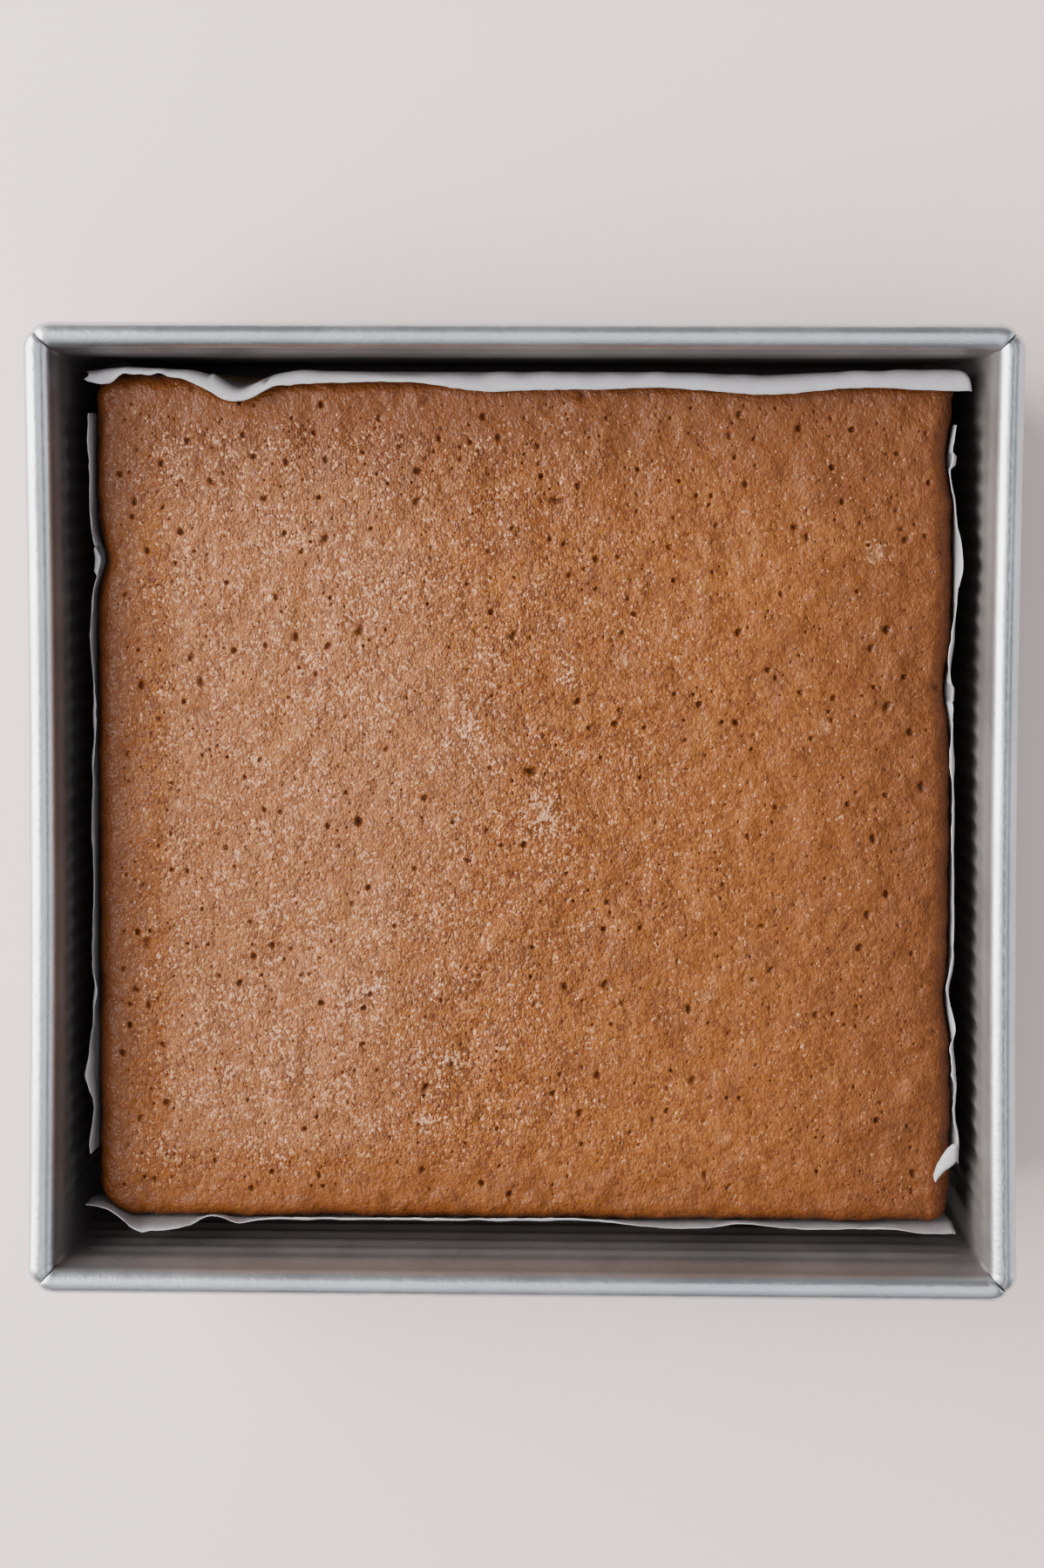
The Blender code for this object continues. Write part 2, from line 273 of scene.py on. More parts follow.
def makeTin():
    stations = tinLoopStations()
    size = rollSize(stations)
    # a mask for darker colour along the mitre line: painted shade in its groove, and grime
    seam = np.array([math.exp(-(abs(entry[4]) / (1.4 * tin["seamWidth"])) ** 2) for entry in stations])
    sideways = np.array([entry[0] % 2 == 1 and entry[1] != "corner" for entry in stations])
    endways = np.array([entry[0] % 2 == 0 and entry[1] != "corner" for entry in stations])
    points, beadVsShadeMask, acrossValue, alongValue, seamMask, sideMask = [], [], [], [], [], []
    for offset, height, angle, part, upright in tinProfile():
        relative = (math.cos(angle), math.sin(angle))
        outShare = 0.5 + 0.5 * relative[0] if part == "roll" else 0.0
        radius = tin["wallCorner"] + tin["rollCorner"] * outShare
        halfX = tin["mouthX"] + offset + outShare * tin["rollSide"]
        halfY = tin["mouthY"] + offset + outShare * tin["rollEnd"]
        ring = tinRing(stations, halfX, halfY, radius, tin["bow"] * height / tin["height"])
        x, y, outX, outY = ring.T
        zRow = np.full(len(ring), height)
        if part == "roll":
            width = np.where(np.abs(outX) > np.abs(outY), tin["rollSide"], tin["rollEnd"])
            pull = (1 - size) * width / 2 * relative[0]
            x = x - outX * pull
            y = y - outY * pull
            zRow = zRow - (1 - size) * tin["rollDrop"] / 2 * relative[1]
        if part in ("bend", "wall"):
            fade = smoothStep(tin["flutedHalf"] + 0.0001, tin["flutedHalf"] - 0.0012, np.abs(y))
            wave = fluteWave(y / tin["flutePitch"]) * fade * sideways
            if part == "wall":
                endFade = smoothStep(tin["mouthX"] - 0.004, tin["mouthX"] - 0.009, np.abs(x))
                level = fluteWave((height - tin["flutedFrom"]) / tin["flutePitch"])
                wave = wave + level * endways * endFade
            lift = tin["fluteDepth"] * wave
            x = x + outX * lift * upright
            y = y + outY * lift * upright
            zRow = zRow + (tin["fluteDepth"] * fade * sideways - lift) * (1 - upright)
        points.append(np.stack([x, y, zRow], axis=1))
        # the roll keeps the bright sheet colour; its inner side takes the walls' darker colour, which is
        # painted shade
        beadVsShade = min(1.0, max(0.0, (172 - math.degrees(angle)) / 40)) if part == "roll" else 0.0
        beadVsShadeMask.append(np.full(len(ring), beadVsShade))
        acrossValue.append(np.full(len(ring), math.degrees(angle) if part == "roll" else 200.0))
        alongValue.append(np.where(np.abs(outX) > np.abs(outY), y, x))
        seamMask.append(seam if part == "roll" else seam * 0.0)
        onSideRoll = (np.abs(outX) > np.abs(outY)) & (part == "roll")
        sideMask.append(onSideRoll * np.where(x > 0, 1.0, tin["leftWear"]))
    count = len(stations)
    rows = len(points)
    faces = gridQuads(rows, count, closed=True)
    vertices = np.concatenate(points)
    masks = [np.concatenate(part) for part in (beadVsShadeMask, acrossValue, alongValue, seamMask, sideMask)]
    columns = 9
    extraPoints = []
    straight = [index for index, entry in enumerate(stations) if entry[1] == "straight"]
    sideOne = [index for index in straight if stations[index][0] == 1]
    sideThree = [index for index in straight if stations[index][0] == 3][::-1]
    for ringStart, flip in ((0, False), ((rows - 1) * count, True)):
        grid = []
        for right, left in zip(sideOne, sideThree):
            start, end = vertices[ringStart + left], vertices[ringStart + right]
            row = [ringStart + left]
            for column in range(1, columns):
                row.append(len(vertices) + len(extraPoints))
                extraPoints.append(start + (end - start) * column / columns)
            grid.append(row + [ringStart + right])
        for lower, upper in zip(grid, grid[1:]):
            for column in range(columns):
                quad = [lower[column], lower[column + 1], upper[column + 1], upper[column]]
                faces.append(quad[::-1] if flip else quad)
        front = [ringStart + index for index in range(sideThree[0], count)]
        front += [ringStart + index for index in range(0, sideOne[0] + 1)]
        front += grid[0][1:-1][::-1]
        back = [ringStart + index for index in range(sideOne[-1], sideThree[-1] + 1)]
        back += grid[-1][1:-1]
        faces.append(front[::-1] if flip else front)
        faces.append(back[::-1] if flip else back)
    vertices = np.concatenate([vertices, np.array(extraPoints)])
    thing = meshObject("tin", vertices, faces)
    padding = np.zeros(len(extraPoints))
    for name, values in zip(("beadVsShade", "across", "along", "seam", "sideRoll"), masks):
        addMask(thing, name, np.concatenate([values, padding + (200.0 if name == "across" else 0.0)]))
    thing.data.set_sharp_from_angle(angle=math.radians(50))
    return thing


# The cake

cake = {
    "width": 0.1950,
    "depth": 0.1944,
    "shift": 0.0009,            # it stands this much nearer the back
    "taper": 0.0012,
    "edgeTop": 0.0430,          # height of the top beside its rounded edge
    "edge": 0.0046,             # radius of the top edge
    "foot": 0.0025,
    "crown": 0.0018,
    "corners": (0.0090, 0.0045, 0.0045, 0.0060),   # front left, front right, back right, back left
    "base": cakeBox[0].z,
    "spacing": 0.00100,         # between points of the plain top
    "ringStep": 0.00075,        # between points round the edge
    "sideWaves": 0.00009,       # of the sides, along their length
    "poresLarge": 620,
    "poresSmall": 1500,
    "poreWobble": 0.20,         # how far a pore's outline strays from an oval
    "poreMargin": 0.0022,       # no pores within this of the rounded edge
    "poreLip": 0.10,            # height of a pore's lip, as a share of its radius
    "wrinkle": 0.00030,         # height of the short wrinkles near the right and front edges
    "rimWidth": 0.0065,         # of the darker crust along the edges
    "grainAndSheenInset": (0.003, 0.020),
    "grainAndSheenAcross": (0.085, -0.045),      # from the smoother right side to the coarser left one, where the painted sheen is strongest
    "grainAndSheenLeast": 0.30,
}

# gentle swells and hollows of the top: x, y, radius, height
cakeSwells = (
    (-0.052, -0.038, 0.013, -0.0013), (-0.040, -0.045, 0.011, 0.0006), (-0.016, 0.018, 0.016, 0.0008),
    (0.005, 0.000, 0.012, 0.0006), (0.030, 0.070, 0.022, -0.0006), (0.062, -0.030, 0.024, -0.0007),
    (-0.070, 0.050, 0.020, 0.0006), (0.078, 0.055, 0.018, 0.0005), (-0.022, 0.0185, 0.005, -0.0006),
)

# relief of the crust: size of its features, height
cakeRelief = ((0.0140, 0.00026), (0.0060, 0.00030), (0.0030, 0.00022), (0.0015, 0.00010))

# how much darker each side is, as more baked crust and on the left also painted shade of the tin's wall:
# width of the darker band along it, strength
cakeBakedAndShade = {
    "back": (0.044, 0.92),
    "right": (0.050, 0.72),
    "front": (0.022, 0.46),
    # the left band is painted shade as well as browning
    "left": (0.018, 1.0),
}

# pale patches of the top, paler crust with painted glints: x, y, half width, half height
cakePaleAndGlint = (
    (-0.0128, 0.016, 0.0042, 0.0062), (0.005, -0.0018, 0.004, 0.0066),
    (-0.0415, -0.0471, 0.004, 0.004), (-0.0167, -0.0579, 0.0034, 0.003),
    (0.0795, 0.0579, 0.0026, 0.0024), (0.01, 0.03, 0.002, 0.003), (-0.033, -0.042, 0.003, 0.002),
    (-0.021, -0.072, 0.004, 0.002),
)

# dents along the sides where the paper folded in: side, place, half width, depth
cakeDents = (
    ("back", -0.0645, 0.0062, 0.0036), ("back", 0.053, 0.011, 0.0007), ("left", 0.0555, 0.0052, 0.002),
    ("right", 0.026, 0.008, 0.0016), ("right", 0.079, 0.007, 0.0016), ("right", -0.045, 0.006, 0.001),
    ("right", -0.074, 0.02, -0.0009),
)

# baked bubbles that broke or dried on the top: x, y, radius
cakeBlisters = (
    (0.068, 0.0184, 0.0016), (0.0459, -0.0759, 0.0014), (0.0418, -0.0431, 0.0013),
    (0.0521, -0.0398, 0.0012), (0.0795, 0.0579, 0.0018), (-0.0125, -0.018, 0.001),
    (0.023, 0.033, 0.0011),
)

# the larger holes: x, y, radius, stretch, heading in degrees
cakeHoles = (
    (0.002, 0.0081, 0.0012, 1.5, 0), (0.0078, 0.0695, 0.0009, 2.6, -12),
    (-0.0237, 0.0761, 0.0009, 1.4, 10), (-0.0371, -0.0036, 0.0011, 1.3, 90),
    (0.0125, 0.024, 0.0008, 1.2, 40), (0.0905, 0.0048, 0.0008, 1.8, 90),
)


def cakeTopHeight(x, y):
    across = np.minimum(np.abs(x) / (cake["width"] / 2), 1.0)
    deep = np.minimum(np.abs(y - cake["shift"]) / (cake["depth"] / 2), 1.0)
    height = cake["edgeTop"] + cake["crown"] * (1 - across ** 4) * (1 - deep ** 4)
    edge = (1 - across ** 6) * (1 - deep ** 6)
    for swellX, swellY, radius, rise in cakeSwells:
        height = height + edge * rise * np.exp(-((x - swellX) ** 2 + (y - swellY) ** 2) / radius ** 2)
    for index, (size, rise) in enumerate(cakeRelief):
        height = height + rise * smoothNoise(x, y, size, 300 + index)
    # short wrinkles across the right and front edges
    nearRight = smoothStep(0.020, 0.006, cake["width"] / 2 - x)
    nearFront = smoothStep(0.016, 0.005, cake["depth"] / 2 + y - cake["shift"])
    height = height + cake["wrinkle"] * nearRight * smoothNoise(x * 0.45, y, 0.0021, 311)
    return height + cake["wrinkle"] * nearFront * smoothNoise(x * 0.8, y, 0.0026, 312)


def sideDent(side, places):
    # how far a side of the cake is pressed in
    total = np.zeros_like(places)
    for name, place, half, depth in cakeDents:
        if name == side:
            total = total + depth * np.exp(-((places - place) / half) ** 2)
    return total


cornerSigns = ((-1, -1), (1, -1), (1, 1), (-1, 1))


def cakeOutline(halfX, halfY, corners, count):
    # rounded rectangle with the dents of its sides, as x, y and outward direction
    outs = ((0, -1), (1, 0), (0, 1), (-1, 0))
    names = ("front", "right", "back", "left")
    loop = []
    for turn, (signX, signY) in enumerate(cornerSigns):
        radius = corners[turn]
        centreX, centreY = signX * (halfX - radius), signY * (halfY - radius)
        for step in range(9):
            angle = math.pi * (1 + turn / 2) + math.pi / 2 * step / 8
            loop.append((centreX + radius * math.cos(angle), centreY + radius * math.sin(angle),
                         math.cos(angle), math.sin(angle)))
        outX, outY = outs[turn]
        half = halfY if outX else halfX
        startPlace = -(half - radius)
        endPlace = half - corners[(turn + 1) % 4]
        for step in range(1, count):
            place = startPlace + (endPlace - startPlace) * step / count
            world = place * (outX or -outY)
            dent = float(sideDent(names[turn], np.array([world]))[0])
            waves = math.sin(410 * world + 2.1 * turn) + math.sin(930 * world + 4.7 * turn)
            dent += cake["sideWaves"] * (2 + waves)
            fade = min(1.0, (half - abs(place)) / 0.004)
            reach = (halfX if outX else halfY) - dent * fade
            loop.append((outX * reach - outY * place, outY * reach + outX * place, outX, outY))
    loop = np.array(loop)
    loop[:, 1] += cake["shift"]
    return loop


def cakeHalf(z):
    share = np.clip((z - cake["base"]) / (cake["edgeTop"] - cake["edge"] - cake["base"]), 0.0, 1.0)
    inset = cake["taper"] * (1 - share)
    return cake["width"] / 2 - inset, cake["depth"] / 2 - inset


def scatterPores():
    # x, y, radius, depth, stretch, heading and darkness of every pore; none overlaps another
    rng = np.random.default_rng(11)
    pores = [(x, y, radius, radius * 1.3, stretch, math.radians(heading), 1.0)
             for x, y, radius, stretch, heading in cakeHoles]
    cells = {}
    cell = 0.004

    def clear(x, y, radius):
        column, row = int(x // cell), int(y // cell)
        for nearX in (-1, 0, 1):
            for nearY in (-1, 0, 1):
                for other in cells.get((column + nearX, row + nearY), ()):
                    if math.hypot(x - other[0], y - other[1]) < (radius + other[2]) * 1.7:
                        return False
        return True

    def note(pore):
        cells.setdefault((int(pore[0] // cell), int(pore[1] // cell)), []).append(pore)

    for pore in pores:
        note(pore)
    halfX, halfY = cake["width"] / 2 - 0.0030, cake["depth"] / 2 - 0.0030
    for wanted, smallest, largest, power in ((cake["poresLarge"], 0.00032, 0.00090, 2.4),
                                             (cake["poresSmall"], 0.00017, 0.00030, 1.2)):
        made = 0
        while made < wanted:
            x, y = rng.uniform(-halfX, halfX), rng.uniform(-halfY, halfY) + cake["shift"]
            radius = smallest + (largest - smallest) * rng.random() ** power
            stretch = 1 + 0.9 * rng.random() ** 2
            heading = rng.normal(math.pi / 2, 0.5)
            # more pores toward the back and the sides
            lean = 0.55 + 0.45 * max(abs(x) / halfX, (y - cake["shift"]) / halfY) ** 2
            if rng.random() > lean or not clear(x, y, radius * stretch):
                continue
            darkness = rng.uniform(0.60, 1.0)
            depth = radius * (0.4 + 1.1 * darkness)
            pores.append((x, y, radius, depth, stretch, heading, darkness))
            note(pores[-1])
            made += 1
    return pores


def poreWobble(pore, angle):
    # how far the pore's outline stands out at this angle, as a share of its radius
    lobes = 0.6 * np.cos(2 * angle + 7.0 * pore[5]) + 0.4 * np.cos(3 * angle + 400.0 * pore[0] / 0.01)
    return 1 + cake["poreWobble"] * lobes


def poreFrame(pore, x, y):
    # distance from a pore's middle as a share of its radius
    turnX, turnY = math.cos(pore[5]), math.sin(pore[5])
    along = ((x - pore[0]) * turnX + (y - pore[1]) * turnY) / (pore[2] * pore[4])
    across = (-(x - pore[0]) * turnY + (y - pore[1]) * turnX) / pore[2]
    return np.hypot(along, across) / poreWobble(pore, np.arctan2(across, along))


def poreRings(pore):
    if pore[2] > 0.00040:
        rings = ((0.0, 1), (0.45, 5), (0.78, 8), (1.0, 10), (1.30, 10))
    elif pore[2] > 0.00024:
        rings = ((0.0, 1), (0.55, 5), (0.95, 7), (1.35, 8))
    else:
        rings = ((0.0, 1), (0.65, 5), (1.25, 6))
    turnX, turnY = math.cos(pore[5]), math.sin(pore[5])
    for share, count in rings:
        for step in range(count):
            angle = 2 * math.pi * (step + 0.5 * (share > 0.6)) / count
            reach = share * pore[2] * poreWobble(pore, angle)
            along = reach * pore[4] * math.cos(angle)
            across = reach * math.sin(angle)
            yield pore[0] + along * turnX - across * turnY, pore[1] + along * turnY + across * turnX


def makeCake():
    rng = np.random.default_rng(5)
    edge, corners = cake["edge"], cake["corners"]
    sideTop = cake["edgeTop"] - edge
    halfX, halfY = cake["width"] / 2, cake["depth"] / 2
    sideCount = int(cake["width"] / cake["ringStep"])
    outline = cakeOutline(halfX, halfY, corners, sideCount)
    count = len(outline)
    # rings over the rounded edge, from the side up and in
    edgeTurns = np.radians([0, 8, 16, 24, 32, 41, 50, 60, 71])
    edgeRings = []
    for turn in edgeTurns:
        inset = edge * (1 - math.cos(turn))
        ring = outline[:, :2] - outline[:, 2:] * inset
        edgeRings.append(ring)
    innerInset = edge * (1 - math.cos(edgeTurns[-1])) + 0.0006
    pores = scatterPores()
    porePoints = []
    owners = []
    for index, pore in enumerate(pores):
        nearest = min(halfX - abs(pore[0]), halfY - abs(pore[1] - cake["shift"]))
        if nearest < innerInset + cake["poreMargin"]:
            continue
        for spot in poreRings(pore):
            porePoints.append(spot)
            owners.append(index)
    porePoints = np.array(porePoints)
    used = sorted(set(owners))
    step = cake["spacing"]
    gridX, gridY = np.meshgrid(np.arange(-halfX, halfX, step), np.arange(-halfY, halfY, step * 0.866))
    gridX[1::2] += step / 2
    plain = np.stack([gridX.ravel(), gridY.ravel()], axis=1)
    plain += rng.uniform(-0.22, 0.22, plain.shape) * step
    plain[:, 1] += cake["shift"]
    # clear the plain points away from the pores and the edge rings
    plainX, plainY = plain.T
    sideways = np.where(plainX > 0, sideDent("right", plainY), sideDent("left", plainY))
    backward = np.where(plainY > 0, sideDent("back", plainX), 0.0)
    room = np.minimum(halfX - np.abs(plainX) - sideways, halfY - np.abs(plainY - cake["shift"]) - backward)
    keep = room > innerInset
    for (signX, signY), radius in zip(cornerSigns, corners):
        centre = np.array([signX * (halfX - radius), signY * (halfY - radius) + cake["shift"]])
        beyond = (plain - centre) * np.array([signX, signY])
        corner = (beyond > 0).all(axis=1)
        keep &= ~(corner & (np.hypot(beyond[:, 0], beyond[:, 1]) > radius - innerInset))
    cell = 0.0025
    buckets = {}
    for index in used:
        pore = pores[index]
        buckets.setdefault((int(pore[0] // cell), int(pore[1] // cell)), []).append(pore)
    bucketX = (plain[:, 0] // cell).astype(int)
    bucketY = (plain[:, 1] // cell).astype(int)
    for index in np.nonzero(keep)[0]:
        x, y = plain[index]
        for nearX in (-1, 0, 1):
            for nearY in (-1, 0, 1):
                for pore in buckets.get((bucketX[index] + nearX, bucketY[index] + nearY), ()):
                    if abs(x - pore[0]) < 0.003 and poreFrame(pore, x, y) < 1.55:
                        keep[index] = False
    plain = plain[keep]
    flat = np.concatenate(edgeRings + [porePoints, plain])
    loopEdges = [(index, (index + 1) % count) for index in range(count)]
    solved = geometry.delaunay_2d_cdt([tuple(spot) for spot in flat], loopEdges, [], 1, 1e-7)
    flat = np.array([tuple(spot) for spot in solved[0]])
    triangles = [list(face) for face in solved[2]]
    origin = [source[0] if source else -1 for source in solved[3]]
    print("cake top:", len(flat), "points", len(triangles), "faces")
    x, y = flat.T
    origin = np.array(origin)
    ringOf = origin // count
    onEdge = (origin >= 0) & (origin < count * len(edgeTurns))
    z = cakeTopHeight(x, y)
    turnOf = np.where(onEdge, edgeTurns[np.clip(ringOf, 0, len(edgeTurns) - 1)], math.pi / 2)
    rounding = edge * (1 - np.sin(turnOf))
    z = z - rounding
    # just inside the last ring the arc goes on to the level top
    away = np.minimum(halfX - np.abs(x), halfY - np.abs(y - cake["shift"]))
    inner = (~onEdge) & (away < edge)
    z[inner] -= edge * (1 - np.sqrt(np.clip(1 - ((edge - away[inner]) / edge) ** 2, 0, 1)))
    poreShadeMask = np.zeros(len(flat))
    order = np.argsort(x)
    sortedX = x[order]
    for pore in pores:
        reach = pore[2] * pore[4] * 2.2
        low, high = np.searchsorted(sortedX, (pore[0] - reach, pore[0] + reach))
        near = order[low:high]
        near = near[np.abs(y[near] - pore[1]) < reach]
        share = poreFrame(pore, x[near], y[near])
        bowl = 1 - smoothStep(0.35, 1.08, share)
        lip = np.exp(-((share - 1.35) / 0.32) ** 2)
        z[near] += -pore[3] * bowl + cake["poreLip"] * pore[2] * lip
        # pore colour is darkened as painted shade in the holes
        poreShadeMask[near] = np.maximum(poreShadeMask[near], bowl * pore[6])
    blisterMask = np.zeros(len(flat))
    for blisterX, blisterY, radius in cakeBlisters:
        share = np.hypot(x - blisterX, y - blisterY) / radius
        ring = np.exp(-((share - 1.0) / 0.28) ** 2)
        z += 0.22 * radius * ring - 0.16 * radius * np.exp(-(share / 0.6) ** 2)
        blisterMask = np.maximum(blisterMask, np.exp(-(share / 1.1) ** 4))
    # the sides and the underside
    points = [np.stack([x, y, z], axis=1)]
    masks = [poreShadeMask]
    topTotal = len(flat)
    firstRing = np.full(count, -1)
    for index, source in enumerate(origin):
        if 0 <= source < count:
            firstRing[source] = index
    previous = firstRing
    faces = triangles
    levels = [sideTop - 0.0030, sideTop - 0.0080, 0.0240, 0.0150, 0.0080, cake["base"] + cake["foot"]]
    total = topTotal
    for level, footTurn in [(level, None) for level in levels] + [(None, angle) for angle in (30, 60, 90)]:
        if footTurn is None:
            inset, height = 0.0, level
        else:
            turn = math.radians(footTurn)
            inset = cake["foot"] * (1 - math.cos(turn))
            height = cake["base"] + cake["foot"] * (1 - math.sin(turn))
        levelX, levelY = cakeHalf(height)
        shrink = (halfX - levelX) + inset
        along = np.arange(count) * cake["ringStep"]
        roughness = 0.00012 * smoothNoise(along, np.full(count, height), 0.004, 71)
        ring = outline[:, :2] - outline[:, 2:] * (shrink + roughness)[:, None]
        points.append(np.column_stack([ring, np.full(count, height)]))
        masks.append(np.zeros(count))
        current = total + np.arange(count)
        total += count
        for index in range(count):
            after = (index + 1) % count
            faces.append([current[index], current[after], previous[after], previous[index]])
        previous = current
    faces.append(list(previous[::-1]))
    vertices = np.concatenate(points)
    thing = meshObject("cake_crumb", vertices, faces)
    addMask(thing, "pore", np.concatenate(masks))
    vx, vy, vz = vertices.T
    # how far each point is from the four sides
    rooms = {"right": halfX - vx, "left": halfX + vx}
    rooms["back"] = halfY - vy + cake["shift"]
    rooms["front"] = halfY + vy - cake["shift"]
    room = np.minimum.reduce(list(rooms.values()))
    addMask(thing, "rim", 1 - smoothStep(0.0, cake["rimWidth"], room))
    # darker bands along the sides: more baked crust, and painted shade along the left
    plainShare = np.ones(len(vertices))
    for name, (width, strength) in cakeBakedAndShade.items():
        plainShare *= 1 - strength * (1 - smoothStep(0.0, width, rooms[name]))
    addMask(thing, "baked", 1 - plainShare)
    # pale patches: paler crust with painted glints
    paleAndGlint = np.zeros(len(vertices))
    for paleX, paleY, halfWidth, halfHeight in cakePaleAndGlint:
        paleAndGlint = np.maximum(paleAndGlint, np.exp(-(((vx - paleX) / halfWidth) ** 2 + ((vy - paleY) / halfHeight) ** 2)))
    addMask(thing, "paleAndGlint", paleAndGlint)
    # low near the edges and toward the right: it sets the grain contrast and the painted sheen, strongest on
    # the left
    inward = smoothStep(*cake["grainAndSheenInset"], room)
    leftward = smoothStep(*cake["grainAndSheenAcross"], vx + 0.25 * np.abs(vy - 0.01))
    addMask(thing, "grainAndSheen", inward * (cake["grainAndSheenLeast"] + (1 - cake["grainAndSheenLeast"]) * leftward))
    addMask(thing, "blister", np.concatenate([blisterMask, np.zeros(len(vertices) - topTotal)]))
    print("cake:", len(vertices), "points")
    return thing


# The paper lining

paper = {
    "sheet": 0.00014,
    "floor": 0.00165,           # height of the base, on the ribs of the tin
    "clear": 0.0004,            # from the cake's side to the paper
    "bend": 0.0030,
    "freeFrom": 0.0385,         # height at which the free part of a flap starts
    "step": 0.0010,             # between columns of a flap
    "footShare": 0.93,
}

# free edge of each flap, in millimetres: place along its side, lean outwards, height, bulge under the edge
paperEdges = {
    "back": (
        (-99.2, -1.6, 45.8, 0.2), (-96, -3.2, 46, 0.4), (-93.5, -2.8, 46.2, 0.9),
        (-92, -1.6, 46.4, 1.1), (-86, -1, 46.6, 1.3), (-79, -1, 46.6, 0.9), (-74, -2.8, 46.6, 0.8),
        (-70.5, -4.6, 46.6, 0), (-67, -6.4, 46.6, -2.2), (-64, -6.7, 46.6, -3.6),
        (-60.5, -5.6, 46.6, -2.8), (-57, -3.6, 46.6, -0.5), (-52, -3, 46.6, 0.4),
        (-39, -2.4, 46.6, 0.2), (-22, -2.6, 46.8, -0.3), (-16, -3.5, 47, -0.2), (-9, -4.3, 47, -0.1),
        (2, -4, 47, 0.1), (19, -3.8, 47, 0.1), (31, -3.4, 47, 0), (43, -4.2, 47, 0.2),
        (54, -4.9, 47, 0.3), (61, -4.6, 47, 0.4), (70, -3.6, 47, 0.6), (78, -3.3, 47, 0.9),
        (90, -3.8, 47, 1.2), (100.4, -4, 47, 1.2),
    ),
    "front": (
        (-99.6, -5, 46.2, -4.6), (-97, -4.7, 46.4, -4.4), (-94.5, -4, 46.4, -3.4),
        (-91.5, -2, 46.4, -1.6), (-89, 0.4, 46.4, -0.3), (-87.4, 1.2, 46.4, 0.4),
        (-84.5, 1, 46.4, 0.4), (-79, 0.5, 46, 0.1), (-76, -0.2, 45.8, -0.2), (-71.5, -2.4, 45.4, -2),
        (-69, -2.2, 45.2, -1.8), (-65.5, -0.7, 45, -0.4), (-60, -1.4, 44.8, -0.8),
        (-40, -1.8, 44.6, -0.9), (-10, -1.8, 44.4, -0.9), (19, -1.7, 44.6, -0.8), (30, -0.5, 45, -0.1),
        (40, -0.2, 45, 0), (50, -1.5, 44.8, -0.8), (60, -0.6, 45, -0.2), (70, -0.4, 45, 0),
        (86, -0.5, 45.2, 0), (90.5, 0.2, 45.4, 0.2), (98.8, 0.4, 45.4, 0.3),
    ),
    "left": (
        (-80.6, 0.8, 44.6, 0.4), (-78.1, 0.9, 45, 0.5), (-74.8, 0.6, 44, 0.4), (-68.4, 0.1, 44.4, 0.3),
        (-65.2, 0.8, 46, 0.5), (-62, 1.8, 45.8, 0.9), (-58.7, 1.2, 45, 0.7), (-55.5, 0.9, 44.2, 0.6),
        (-52.3, 0.5, 44, 0.4), (-45.8, -0.4, 44.4, 0.2), (-42.6, -0.8, 44, 0.1),
        (-39.4, -0.2, 44.6, 0.2), (-33, 0.2, 44, 0.3), (-17, -0.3, 44, 0.2), (-7.4, 0.1, 44.6, 0.2),
        (2.2, 0, 44, 0.2), (8.6, -0.2, 44.2, 0.2), (18.1, -0.8, 44, 0.1), (27.7, -0.5, 44, 0.1),
        (34.1, 0.1, 44.4, 0.2), (40.4, 0.3, 44.4, 0.3), (43.6, -0.2, 44.2, 0.2),
        (49.9, -0.8, 44.8, 0.1), (53.1, -1.7, 45, 0), (56.3, -2, 44.2, 0), (59.4, -0.9, 45.5, 0.1),
        (65.8, -0.2, 45.5, 0.2), (68.9, 0.2, 45.5, 0.3), (72.1, 0.3, 44.6, 0.3), (78.4, 0.4, 45, 0.3),
        (84.7, 0.5, 46.2, 0.4), (89, 0.1, 46.6, 0.3),
    ),
    "right": (
        (-80.7, 1, 46.2, 0.6), (-78.1, 1, 46.2, 0.6), (-74.4, 1, 45.5, 0.5), (-72, 0.4, 44.6, 0.3),
        (-66.8, 0.1, 45, 0.2), (-63.6, 0.3, 45.8, 0.3), (-60.4, -0.4, 45.6, 0.2), (-54, -0.6, 45, 0.1),
        (-50.8, 0.3, 45.6, 0.3), (-44.5, -0.9, 45, 0.1), (-41.3, -1.6, 44.2, 0),
        (-38.1, -1.2, 45.2, 0), (-34.9, -0.6, 44.6, 0.1), (-19, -0.5, 45.4, 0.1),
        (-6.2, -0.8, 44.6, 0.1), (3.3, -0.7, 44.6, 0.1), (12.8, -1.3, 44.4, 0), (16, -1, 44.6, 0),
        (22.3, -0.8, 44.2, 0.1), (28.6, -1.3, 45.8, 0), (34.9, -2, 45, 0), (38.1, -1.5, 45.8, 0),
        (41.2, -1.1, 45, 0), (44.4, -0.5, 44.8, 0.1), (50.7, 0.1, 46.4, 0.2), (53.9, 0.9, 46.6, 0.5),
        (57, 1, 46.4, 0.6), (60.1, 0.6, 46.2, 0.4), (63.3, -0.1, 45, 0.2), (69.6, -1, 44.8, 0),
        (75.9, -2, 45, -0.3), (79, -1.6, 45, -0.2), (82.1, -1.2, 44.4, 0), (86.8, -0.7, 44.6, 0.1),
    ),
}

# torn or rounded ends of the back flap: share of the way up its free part, how far the sheet stops short
paperEnds = {
    "first": ((0.0, 0.0000), (0.40, 0.0000), (0.62, 0.0016), (0.72, 0.0007), (0.82, 0.0013), (1.0, 0.0000)),
    "last": ((0.0, 0.0040), (0.35, 0.0026), (0.60, 0.0012), (0.80, 0.0004), (1.0, 0.0000)),
}

# outward and along directions of each flap
paperSides = {
    "front": ((0, -1), (1, 0)),
    "right": ((1, 0), (0, 1)),
    "back": ((0, 1), (1, 0)),
    "left": ((-1, 0), (0, 1)),
}
bendTurns = (0, 22.5, 45, 67.5, 90)
tallShares = (0.2, 0.4, 0.6, 0.8, 1.0)
freeShares = tuple(step / 14 for step in range(1, 15))


def bezier(start, first, second, end, share):
    rest = 1 - share
    ends = rest ** 3 * start + share ** 3 * end
    return ends + 3 * rest * share * (rest * first + share * second)


